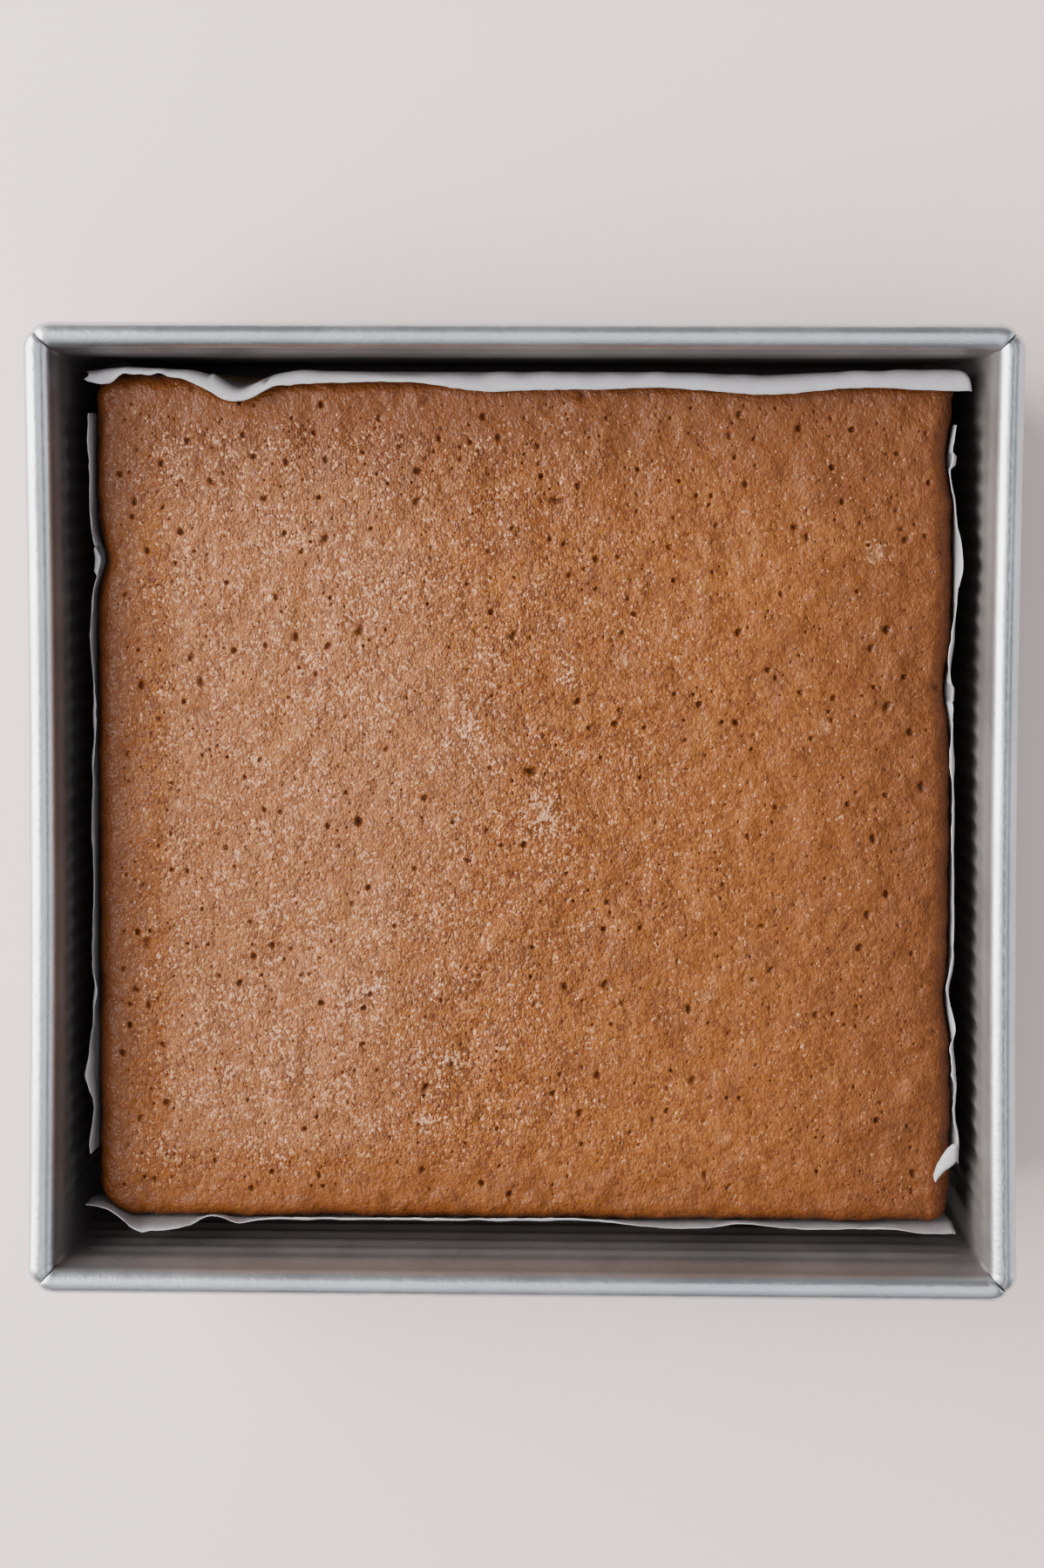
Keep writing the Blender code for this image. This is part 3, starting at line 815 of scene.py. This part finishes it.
def flapRows(name):
    # rows of points from the fold at the floor to the free edge, and how far up its free part each row is
    outward, along = (np.array(pair, float) for pair in paperSides[name])
    edge = np.array(paperEdges[name]) / 1000
    first, last = edge[0][0], edge[-1][0]
    count = int((last - first) / paper["step"] + 0.49)
    places = np.linspace(first, last, count + 1)
    lean, height, bulge = easedRoute(edge, places).T
    tear = tearRoughness(name, places)
    halfX, halfY = cakeHalf(cake["base"])
    half = (halfX if outward[0] else halfY) + cake["shift"] * outward[1]
    foot = half - paper["bend"] + paper["clear"]
    dent = sideDent(name, places)
    # past the cake's corner the whole flap leans in, not only its free part
    pull = np.minimum(bulge + 0.0006, 0.0) * smoothStep(0.086, 0.092, np.abs(places))
    rows, freeness = [], []

    def addRow(out, z, spread, free):
        spot = outward[None, :] * np.asarray(out)[:, None] + along[None, :] * (places * spread)[:, None]
        rows.append(np.column_stack([spot, np.broadcast_to(z, places.shape)]))
        freeness.append(free)

    ones = np.ones_like(places)
    for degrees in bendTurns:
        turn = math.radians(degrees)
        out = foot + paper["bend"] * math.sin(turn)
        addRow(out * ones, paper["floor"] + paper["bend"] * (1 - math.cos(turn)), paper["footShare"], -1.0)
    lowest = paper["floor"] + paper["bend"]
    wall = foot + paper["bend"]
    for share in tallShares:
        ripple = 0.00010 * smoothNoise(places, share * ones * 0.03, 0.011, 90 + len(name))
        out = wall + cake["taper"] * share + (pull - dent) * share ** 2 + ripple
        z = lowest + (paper["freeFrom"] - lowest) * share
        addRow(out, z, paper["footShare"] + (1 - paper["footShare"]) * share, share - 1)
    plain = wall + cake["taper"]
    top = plain - dent + pull
    freeHeight = height - paper["freeFrom"]
    crease = 0.00022 * smoothNoise(places, ones * 0.01, 0.0050, 55 + len(name))
    for share in freeShares:
        middleOut = plain + bulge - np.where(dent > 0.0015, 0.0, dent)
        out = bezier(top, middleOut, middleOut, plain + lean, share)
        out = out + tear * share ** 3 + crease * math.sin(math.pi * share)
        z = bezier(paper["freeFrom"], paper["freeFrom"] + 0.45 * freeHeight, height + 0.0004, height, share)
        z = z + 0.6 * tear * share ** 6
        addRow(out, z, 1.0, share)
        if name == "back":
            for end, sign, reach in (("first", 1, places - first), ("last", -1, last - places)):
                short = np.interp(share, *np.array(paperEnds[end]).T) * smoothStep(0.006, 0.0, reach)
                rows[-1][:, 0] += sign * short
    return rows, freeness


def tearRoughness(name, places):
    # small irregularities of the cut edge, strongest where the sheet was torn
    fine = 0.00010 * smoothNoise(places, places * 0, 0.0016, 40 + len(name))
    if name == "back":
        torn = smoothStep(-0.076, -0.080, places)
        fine = fine + torn * 0.00045 * smoothNoise(places, places * 0, 0.0021, 47)
    if name == "right":
        torn = np.exp(-((places + 0.058) / 0.006) ** 2) + np.exp(-((places - 0.024) / 0.004) ** 2)
        fine = fine + torn * 0.00040 * smoothNoise(places, places * 0, 0.0019, 49)
    return fine


def makePaper():
    vertices, faces, free = [], [], []
    baseLoop = []
    total = 0
    for name in ("front", "right", "back", "left"):
        rows, freeness = flapRows(name)
        count = len(rows[0])
        if name in ("back", "left"):
            rows = [row[::-1] for row in rows]
        faces += gridQuads(len(rows), count, start=total)
        for row, share in zip(rows, freeness):
            vertices.append(row)
            free += [share] * count
        baseLoop += list(range(total, total + count))
        total += count * len(rows)
    faces.append(baseLoop)
    vertices = np.concatenate(vertices)
    tongue, tongueFaces = curledTongue(total)
    thing = meshObject("paper_lining", np.concatenate([vertices, tongue]), faces + tongueFaces)
    addMask(thing, "free", free + [1.0] * len(tongue))
    thicken = thing.modifiers.new("thickness", "SOLIDIFY")
    thicken.thickness = paper["sheet"]
    thicken.offset = 0.0
    return thing


# the torn end of the right flap, folded over the cake's corner: y, inner x, outer x, inner z, outer z
paperTongue = (
    (-0.0763, 0.0978, 0.0989, 0.0459, 0.0462), (-0.0775, 0.0966, 0.0989, 0.0458, 0.0463),
    (-0.0787, 0.0958, 0.0989, 0.0457, 0.0464), (-0.0799, 0.0951, 0.0988, 0.0456, 0.0464),
    (-0.0811, 0.0944, 0.0977, 0.0456, 0.0466), (-0.0823, 0.094, 0.0961, 0.0457, 0.0465),
    (-0.0835, 0.0936, 0.0951, 0.0459, 0.0463), (-0.0844, 0.0937, 0.0944, 0.046, 0.0462),
    (-0.0849, 0.0939, 0.0941, 0.046, 0.046),
)


def curledTongue(start):
    places = np.linspace(paperTongue[0][0], paperTongue[-1][0], 19)
    stations = easedRoute([(-entry[0], *entry[1:]) for entry in paperTongue], -places)
    points = []
    for place, (innerX, outerX, innerZ, outerZ) in zip(places, stations):
        for across in (0.0, 0.25, 0.5, 0.75, 1.0):
            rise = 0.0005 * math.sin(math.pi * across)
            x = innerX + (outerX - innerX) * across
            points.append((x, place, innerZ + (outerZ - innerZ) * across + rise))
    return np.array(points), gridQuads(len(places), 5, start=start)


# Shader helpers

def newMaterial(name):
    material = bpy.data.materials.new(name)
    material.use_nodes = True
    tree = material.node_tree
    return material, tree, tree.nodes["Principled BSDF"]


def node(tree, kind, **settings):
    made = tree.nodes.new(kind)
    for key, value in settings.items():
        setattr(made, key, value)
    return made


def setInputs(made, **values):
    for key, value in values.items():
        made.inputs[key.replace("_", " ")].default_value = value
    return made


def feed(tree, socket, value):
    # a number or a colour is set on the socket, and anything else is linked to it
    if isinstance(value, (int, float)):
        socket.default_value = value
    elif isinstance(value, tuple):
        socket.default_value = (*value, 1.0)
    else:
        tree.links.new(value, socket)


def mathNode(tree, operation, *values):
    made = node(tree, "ShaderNodeMath", operation=operation)
    for socket, value in zip(made.inputs, values):
        feed(tree, socket, value)
    return made.outputs[0]


def times(tree, value, amount):
    return mathNode(tree, "MULTIPLY", value, amount)


def plus(tree, first, second):
    return mathNode(tree, "ADD", first, second)


def mixColour(tree, amount, first, second):
    made = node(tree, "ShaderNodeMix", data_type="RGBA")
    for socket, value in ((made.inputs["Factor"], amount), (made.inputs[6], first), (made.inputs[7], second)):
        feed(tree, socket, value)
    return made.outputs[2]


def ramp(tree, value, low, high, outLow=0.0, outHigh=1.0):
    made = node(tree, "ShaderNodeMapRange", interpolation_type="SMOOTHSTEP")
    for socket, amount in zip(("From Min", "From Max", "To Min", "To Max"), (low, high, outLow, outHigh)):
        made.inputs[socket].default_value = amount
    tree.links.new(value, made.inputs["Value"])
    return made.outputs["Result"]


def maskInput(tree, name):
    return node(tree, "ShaderNodeAttribute", attribute_name=name).outputs["Fac"]


def placeInput(tree, stretch=(1.0, 1.0, 1.0)):
    place = node(tree, "ShaderNodeTexCoord").outputs["Object"]
    mapping = node(tree, "ShaderNodeMapping")
    mapping.inputs["Scale"].default_value = stretch
    tree.links.new(place, mapping.inputs["Vector"])
    return mapping.outputs["Vector"]


def noiseNode(tree, vector, scale, detail=2.0, rough=0.5):
    made = node(tree, "ShaderNodeTexNoise")
    setInputs(made, Scale=scale, Detail=detail, Roughness=rough)
    tree.links.new(vector, made.inputs["Vector"])
    return made.outputs["Fac"]


def bumpNode(tree, height, distance, strength=1.0, under=None):
    made = node(tree, "ShaderNodeBump")
    setInputs(made, Distance=distance, Strength=strength)
    tree.links.new(height, made.inputs["Height"])
    if under is not None:
        tree.links.new(under, made.inputs["Normal"])
    return made.outputs["Normal"]


def newGroup(name, values, outputs):
    # an empty node group with a vector, named numbers to set, and named outputs
    group = bpy.data.node_groups.new(name, "ShaderNodeTree")
    group.interface.new_socket("Vector", in_out="INPUT", socket_type="NodeSocketVector")
    for label, value in values.items():
        socket = group.interface.new_socket(label, in_out="INPUT", socket_type="NodeSocketFloat")
        socket.default_value = value
    for label in outputs:
        group.interface.new_socket(label, in_out="OUTPUT", socket_type="NodeSocketFloat")
    return group, node(group, "NodeGroupInput").outputs, node(group, "NodeGroupOutput").inputs


def patchGroup():
    # soft uneven patches: noise at a coarse and a fine scale, brought between 0 and 1
    values = {"Coarse": 60.0, "Fine": 400.0, "Fine Share": 0.4, "Low": 0.35, "High": 0.65}
    group, source, sink = newGroup("uneven patches", values, ["Patches"])
    noises = []
    for scale in ("Coarse", "Fine"):
        made = node(group, "ShaderNodeTexNoise")
        made.inputs["Detail"].default_value = 3.0
        group.links.new(source["Vector"], made.inputs["Vector"])
        group.links.new(source[scale], made.inputs["Scale"])
        noises.append(made.outputs["Fac"])
    blend = node(group, "ShaderNodeMix", data_type="FLOAT")
    for socket, value in zip((0, 2, 3), (source["Fine Share"], *noises)):
        group.links.new(value, blend.inputs[socket])
    spread = node(group, "ShaderNodeMapRange", interpolation_type="SMOOTHSTEP")
    limits = {"Value": blend.outputs[0], "From Min": source["Low"], "From Max": source["High"]}
    for socket, value in limits.items():
        group.links.new(value, spread.inputs[socket])
    group.links.new(spread.outputs["Result"], sink["Patches"])
    return group


patches = patchGroup()


def patchNode(tree, vector, coarse, fine, fineShare, low, high):
    made = node(tree, "ShaderNodeGroup", node_tree=patches)
    setInputs(made, Coarse=coarse, Fine=fine, Fine_Share=fineShare, Low=low, High=high)
    tree.links.new(vector, made.inputs["Vector"])
    return made.outputs["Patches"]


# Finishes

def grainGroup():
    # packed grains: how high each point of a grain stands, and a tone of its own for every grain
    values = {"Grains": 1600.0, "Unevenness": 0.0004}
    group, source, sink = newGroup("packed grains", values, ["Height", "Tone"])
    warp = node(group, "ShaderNodeTexNoise")
    setInputs(warp, Scale=900.0, Detail=2.0)
    group.links.new(source["Vector"], warp.inputs["Vector"])
    centred = node(group, "ShaderNodeVectorMath", operation="SUBTRACT")
    centred.inputs[1].default_value = (0.5, 0.5, 0.5)
    group.links.new(warp.outputs["Color"], centred.inputs[0])
    scaled = node(group, "ShaderNodeVectorMath", operation="SCALE")
    group.links.new(centred.outputs["Vector"], scaled.inputs[0])
    group.links.new(source["Unevenness"], scaled.inputs["Scale"])
    moved = node(group, "ShaderNodeVectorMath", operation="ADD")
    group.links.new(source["Vector"], moved.inputs[0])
    group.links.new(scaled.outputs["Vector"], moved.inputs[1])
    cells = node(group, "ShaderNodeTexVoronoi")
    group.links.new(moved.outputs["Vector"], cells.inputs["Vector"])
    group.links.new(source["Grains"], cells.inputs["Scale"])
    group.links.new(ramp(group, cells.outputs["Distance"], 0.75, 0.05), sink["Height"])
    apart = node(group, "ShaderNodeSeparateColor")
    group.links.new(cells.outputs["Color"], apart.inputs["Color"])
    group.links.new(apart.outputs["Red"], sink["Tone"])
    return group


grains = grainGroup()


def grainNode(tree, vector, size):
    made = node(tree, "ShaderNodeGroup", node_tree=grains)
    setInputs(made, Grains=1 / size, Unevenness=0.6 * size)
    tree.links.new(vector, made.inputs["Vector"])
    return made.outputs["Height"], made.outputs["Tone"]


crust = {
    "grainSizes": (0.00120, 0.00062, 0.00036),
    "deep": (0.070, 0.013, 0.001),           # painted shade between the grains
    "brown": (0.112, 0.027, 0.0030),         # darkest and lightest plain grains
    "golden": (0.260, 0.081, 0.0095),
    "tan": (0.550, 0.280, 0.155),            # pale grains and painted glints
    "broad": (0.215, 0.060, 0.0075),
    "smudge": (0.106, 0.029, 0.006),
    "warm": (0.350, 0.121, 0.017),
    # painted sheen of the left side
    "paintedSheen": (0.415, 0.180, 0.082),
    "baked": (0.098, 0.027, 0.0052),
    "blister": (0.400, 0.175, 0.075),
    "rim": (0.085, 0.019, 0.003),
    "pore": (0.085, 0.016, 0.001),
    "shine": 0.31,
    "roughness": (0.66, 0.25),               # of the dullest and the glossiest grains
    "smoothest": 0.55,                       # contrast of the grains where the crust is smooth
}


def crustMaterial():
    material, tree, shader = newMaterial("cake crust")
    place = placeInput(tree)
    streaks = placeInput(tree, (1.0, 0.78, 1.0))
    # packed grains of crumb in three sizes, every grain with its own tone
    made = [grainNode(tree, streaks, size) for size in crust["grainSizes"]]
    (bigHeight, bigTone), (midHeight, midTone), (fineHeight, fineTone) = made
    smallTones = plus(tree, times(tree, midTone, 0.45), times(tree, fineTone, 0.30))
    tone = plus(tree, times(tree, bigTone, 0.25), smallTones)
    # the crust is smoother where the grain-and-sheen mask is low
    grainAndSheen = maskInput(tree, "grainAndSheen")
    contrast = ramp(tree, grainAndSheen, 0.25, 0.90, crust["smoothest"], 1.0)
    tone = plus(tree, times(tree, plus(tree, tone, -0.52), contrast), 0.52)
    colour = mixColour(tree, ramp(tree, tone, 0.20, 0.72), crust["brown"], crust["golden"])
    broad = patchNode(tree, place, 60.0, 210.0, 0.45, 0.36, 0.64)
    colour = mixColour(tree, times(tree, broad, 0.35), colour, crust["broad"])
    # soft smudges and warmer, lighter places a few millimetres wide
    smudge = patchNode(tree, streaks, 95.0, 330.0, 0.35, 0.50, 0.68)
    colour = mixColour(tree, times(tree, smudge, 0.44), colour, crust["smudge"])
    warm = patchNode(tree, place, 88.0, 290.0, 0.35, 0.52, 0.70)
    colour = mixColour(tree, times(tree, warm, 0.30), colour, crust["warm"])
    # painted sheen: paler where the grain-and-sheen mask is high, toward the left
    paintedSheen = ramp(tree, grainAndSheen, 0.76, 1.0)
    colour = mixColour(tree, times(tree, paintedSheen, 0.23), colour, crust["paintedSheen"])
    # darker where the oven browned it more, and along the left edge as painted shade
    baked = maskInput(tree, "baked")
    colour = mixColour(tree, times(tree, baked, 0.82), colour, crust["baked"])
    # pale grains with painted glints, thick in some patches and in the pale patches
    thick = patchNode(tree, streaks, 120.0, 420.0, 0.45, 0.40, 0.60)
    thick = times(tree, grainAndSheen, ramp(tree, thick, 0.0, 1.0, 0.25, 1.0))
    thick = plus(tree, times(tree, thick, 0.240), times(tree, maskInput(tree, "paleAndGlint"), 0.30))
    thick = plus(tree, thick, times(tree, plus(tree, grainAndSheen, -1.0), 0.06))
    paleTone = plus(tree, plus(tree, times(tree, midTone, 0.60), times(tree, fineTone, 0.40)), thick)
    flecksAndGlints = ramp(tree, paleTone, 0.89, 0.99)
    colour = mixColour(tree, times(tree, flecksAndGlints, 0.80), colour, crust["tan"])
    # dark freckles between the grains
    freckle = patchNode(tree, streaks, 700.0, 240.0, 0.35, 0.57, 0.66)
    colour = mixColour(tree, times(tree, freckle, 0.32), colour, crust["brown"])
    # painted shade in the gaps between the grains, deepest at dark grains
    grainGapShade = plus(tree, times(tree, midTone, 0.6), times(tree, midHeight, 0.4))
    grainGapShade = times(tree, ramp(tree, grainGapShade, 0.20, 0.10), contrast)
    colour = mixColour(tree, times(tree, grainGapShade, 0.52), colour, crust["deep"])
    # darker rim crust, lighter blisters, and pores darkened as painted shade in the holes
    for name, amount in (("blister", 0.35), ("rim", 0.56), ("pore", 0.90)):
        colour = mixColour(tree, times(tree, maskInput(tree, name), amount), colour, crust[name])
    tree.links.new(colour, shader.inputs["Base Color"])
    tree.links.new(ramp(tree, fineTone, 0.1, 0.9, *crust["roughness"]), shader.inputs["Roughness"])
    coarse = noiseNode(tree, place, 620.0, 2.0, 0.5)
    normal = bumpNode(tree, coarse, 0.00045, 0.9)
    for height, rise in ((bigHeight, 0.00010), (midHeight, 0.00013), (fineHeight, 0.00008)):
        normal = bumpNode(tree, times(tree, height, contrast), rise, 1.0, under=normal)
    tree.links.new(normal, shader.inputs["Normal"])
    shader.inputs["Specular IOR Level"].default_value = crust["shine"]
    return material


metal = {
    # the wall colours are dark and brownish: painted shade inside the tin and a painted reflection of the
    # cake
    "wall": ((0.215, 0.196, 0.188), (0.270, 0.248, 0.240)),        # darker and lighter patches
    "rolled": ((0.500, 0.512, 0.530), (0.590, 0.600, 0.620)),
    "scuff": (0.16, 0.16, 0.17),
    "seam": (0.05, 0.05, 0.05),
    "worn": (0.10, 0.10, 0.11),
    "crownAt": 78.0,            # degrees round the roll
    "wornAt": 93.0,
    "wallMetallic": 0.76,       # the walls are dulled by baking
    "roughness": (0.42, 0.50),
    "polish": -0.14,            # the roll is this much smoother
}


def metalMaterial():
    material, tree, shader = newMaterial("aluminised sheet")
    place = placeInput(tree)
    tone = patchNode(tree, place, 45.0, 900.0, 0.25, 0.30, 0.70)
    beadVsShade = maskInput(tree, "beadVsShade")
    across = maskInput(tree, "across")
    # the walls and the roll's inner side get the darker wall colour as painted shade and painted reflection
    wall = mixColour(tree, tone, *metal["wall"])
    rolled = mixColour(tree, tone, *metal["rolled"])
    colour = mixColour(tree, beadVsShade, wall, rolled)
    # scuffs in short dashes along the crown of the roll
    trace = node(tree, "ShaderNodeCombineXYZ")
    tree.links.new(times(tree, maskInput(tree, "along"), 420.0), trace.inputs["X"])
    tree.links.new(times(tree, across, 0.11), trace.inputs["Y"])
    dashes = noiseNode(tree, trace.outputs["Vector"], 1.0, 3.0, 0.6)
    crown = mathNode(tree, "ABSOLUTE", mathNode(tree, "SUBTRACT", across, metal["crownAt"]))
    nearCrown = ramp(tree, crown, 34.0, 6.0)
    scuff = times(tree, ramp(tree, dashes, 0.60, 0.70), nearCrown)
    colour = mixColour(tree, times(tree, scuff, 0.55), colour, metal["scuff"])
    # darker along the mitre line: painted shade in the groove, and grime
    colour = mixColour(tree, times(tree, maskInput(tree, "seam"), 0.55), colour, metal["seam"])
    # a thin worn line along the crown of the side rolls
    worn = mathNode(tree, "ABSOLUTE", mathNode(tree, "SUBTRACT", across, metal["wornAt"]))
    worn = times(tree, ramp(tree, worn, 11.0, 3.0), maskInput(tree, "sideRoll"))
    worn = times(tree, worn, ramp(tree, dashes, 0.36, 0.52, 0.35, 1.0))
    colour = mixColour(tree, times(tree, worn, 0.70), colour, metal["worn"])
    tree.links.new(colour, shader.inputs["Base Color"])
    tree.links.new(ramp(tree, beadVsShade, 0.0, 1.0, metal["wallMetallic"], 1.0), shader.inputs["Metallic"])
    smudge = patchNode(tree, place, 30.0, 260.0, 0.4, 0.30, 0.70)
    roughness = ramp(tree, smudge, 0.0, 1.0, *metal["roughness"])
    roughness = plus(tree, roughness, times(tree, beadVsShade, metal["polish"]))
    roughness = plus(tree, roughness, times(tree, scuff, 0.2))
    tree.links.new(roughness, shader.inputs["Roughness"])
    # long waves of the sheet, its pebbled skin, and a fine grain
    normal = None
    for scale, rough, rise, strength in ((160.0, 0.5, 0.00012, 0.5), (900.0, 0.5, 0.00009, 0.8),
                                         (2600.0, 0.6, 0.00003, 0.5)):
        skin = noiseNode(tree, place, scale, 2.0, rough)
        normal = bumpNode(tree, skin, rise, strength, under=normal)
    tree.links.new(normal, shader.inputs["Normal"])
    return material


paperTones = {
    "clean": ((0.360, 0.344, 0.356), (0.428, 0.413, 0.425)),
    # darker low on the free part of a flap: painted shade toward the fold, and damper paper
    "shadeAndDamp": ((0.24, 0.222, 0.222), (0.30, 0.280, 0.280)),
    "greasy": ((0.20, 0.115, 0.060), (0.34, 0.21, 0.12)),       # where it lies on the cake
    "shadeAndDampTo": (0.25, 0.90),                                      # along the free part of a flap
    "greasyTo": (-0.22, -0.03),
}


def paperMaterial():
    material, tree, shader = newMaterial("baking paper")
    place = placeInput(tree)
    free = maskInput(tree, "free")
    fibre = patchNode(tree, place, 160.0, 1500.0, 0.4, 0.30, 0.70)
    clean, shadeAndDamp, greasy = (mixColour(tree, fibre, *paperTones[name]) for name in ("clean", "shadeAndDamp", "greasy"))
    # painted shade toward the fold of the free part, with damper paper there
    colour = mixColour(tree, ramp(tree, free, *paperTones["shadeAndDampTo"]), shadeAndDamp, clean)
    colour = mixColour(tree, ramp(tree, free, *paperTones["greasyTo"]), greasy, colour)
    tree.links.new(colour, shader.inputs["Base Color"])
    shader.inputs["Roughness"].default_value = 0.55
    shader.inputs["Specular IOR Level"].default_value = 0.35
    shader.inputs["Subsurface Weight"].default_value = 0.35
    shader.inputs["Subsurface Radius"].default_value = (1.0, 0.9, 0.85)
    shader.inputs["Subsurface Scale"].default_value = 0.0005
    wrinkle = noiseNode(tree, place, 420.0, 3.0, 0.55)
    normal = bumpNode(tree, wrinkle, 0.00012, 0.6)
    tree.links.new(normal, shader.inputs["Normal"])
    return material


def floorMaterial():
    material, tree, shader = newMaterial("studio floor")
    place = placeInput(tree)
    tone = patchNode(tree, place, 3.0, 14.0, 0.3, 0.30, 0.70)
    colour = mixColour(tree, tone, (0.90, 0.745, 0.690), (0.94, 0.785, 0.730))
    tree.links.new(colour, shader.inputs["Base Color"])
    shader.inputs["Roughness"].default_value = 0.8
    return material


# Studio

studio = {
    "floorHalf": 2.5,
    "floorDrop": 0.0002,             # the floor lies this much under the tin
    "fillColour": (0.90, 0.93, 1.0),
    "fillStrength": 0.29,
    "cameraPlace": (0.0113864, 0.0977846, 0.6411403),
    "cameraTurn": (-0.0422308, 0.0196564, 0.0023936),
    "lens": 60.713,
    "shiftUp": -0.1893,
    # each soft panel: place, size, watts, turn in degrees; the key panel stands on the left like a window
    "panels": {
        "key panel": ((-0.92, 0.26, 0.80), (1.5, 1.5), 77.0, (90, 0, -90)),
        "ceiling": ((0.0, -0.10, 1.7), (1.9, 1.9), 14.0, (0, 0, 0)),
        "side card": ((1.5, 0.0, 0.60), (1.6, 1.1), 7.0, (90, 0, 90)),
        "front card": ((0.0, -1.3, 1.25), (1.8, 0.9), 3.0, (45, 0, 0)),
    },
    "keyColour": (1.0, 0.99, 0.98),
}


def addPanel(name, place, size, power, turn):
    data = bpy.data.lights.new(name, "AREA")
    data.shape = "RECTANGLE"
    data.size, data.size_y = size
    data.energy = power
    data.color = studio["keyColour"] if name == "key panel" else studio["fillColour"]
    lamp = bpy.data.objects.new(name, data)
    bpy.context.scene.collection.objects.link(lamp)
    lamp.location = place
    lamp.rotation_euler = [math.radians(degrees) for degrees in turn]
    lamp.visible_camera = False


def makeStudio():
    half = studio["floorHalf"]
    corners = [(-half, -half, 0), (half, -half, 0), (half, half, 0), (-half, half, 0)]
    floor = meshObject("floor", corners, [(0, 1, 2, 3)], smooth=False)
    floor.location.z = -studio["floorDrop"]
    floor.data.materials.append(floorMaterial())
    for name, panel in studio["panels"].items():
        addPanel(name, *panel)
    world = bpy.data.worlds.new("soft room")
    bpy.context.scene.world = world
    world.use_nodes = True
    backdrop = world.node_tree.nodes["Background"]
    backdrop.inputs["Color"].default_value = (*studio["fillColour"], 1.0)
    backdrop.inputs["Strength"].default_value = studio["fillStrength"]
    data = bpy.data.cameras.new("camera")
    data.sensor_width = 36.0
    data.lens = studio["lens"]
    data.shift_y = studio["shiftUp"]
    data.clip_start = 0.01
    camera = bpy.data.objects.new("camera", data)
    bpy.context.scene.collection.objects.link(camera)
    camera.location = studio["cameraPlace"]
    camera.rotation_euler = studio["cameraTurn"]
    bpy.context.scene.camera = camera


def finishPiece(thing, material, cadNode):
    thing.data.materials.append(material)
    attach(thing, body)
    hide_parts(cadNode)


makeStudio()
print("studio ready")
finishPiece(makeTin(), metalMaterial(), "pan")
print("tin ready")
finishPiece(makePaper(), paperMaterial(), "parchment")
print("lining ready")
finishPiece(makeCake(), crustMaterial(), "cake")
print("cake ready")
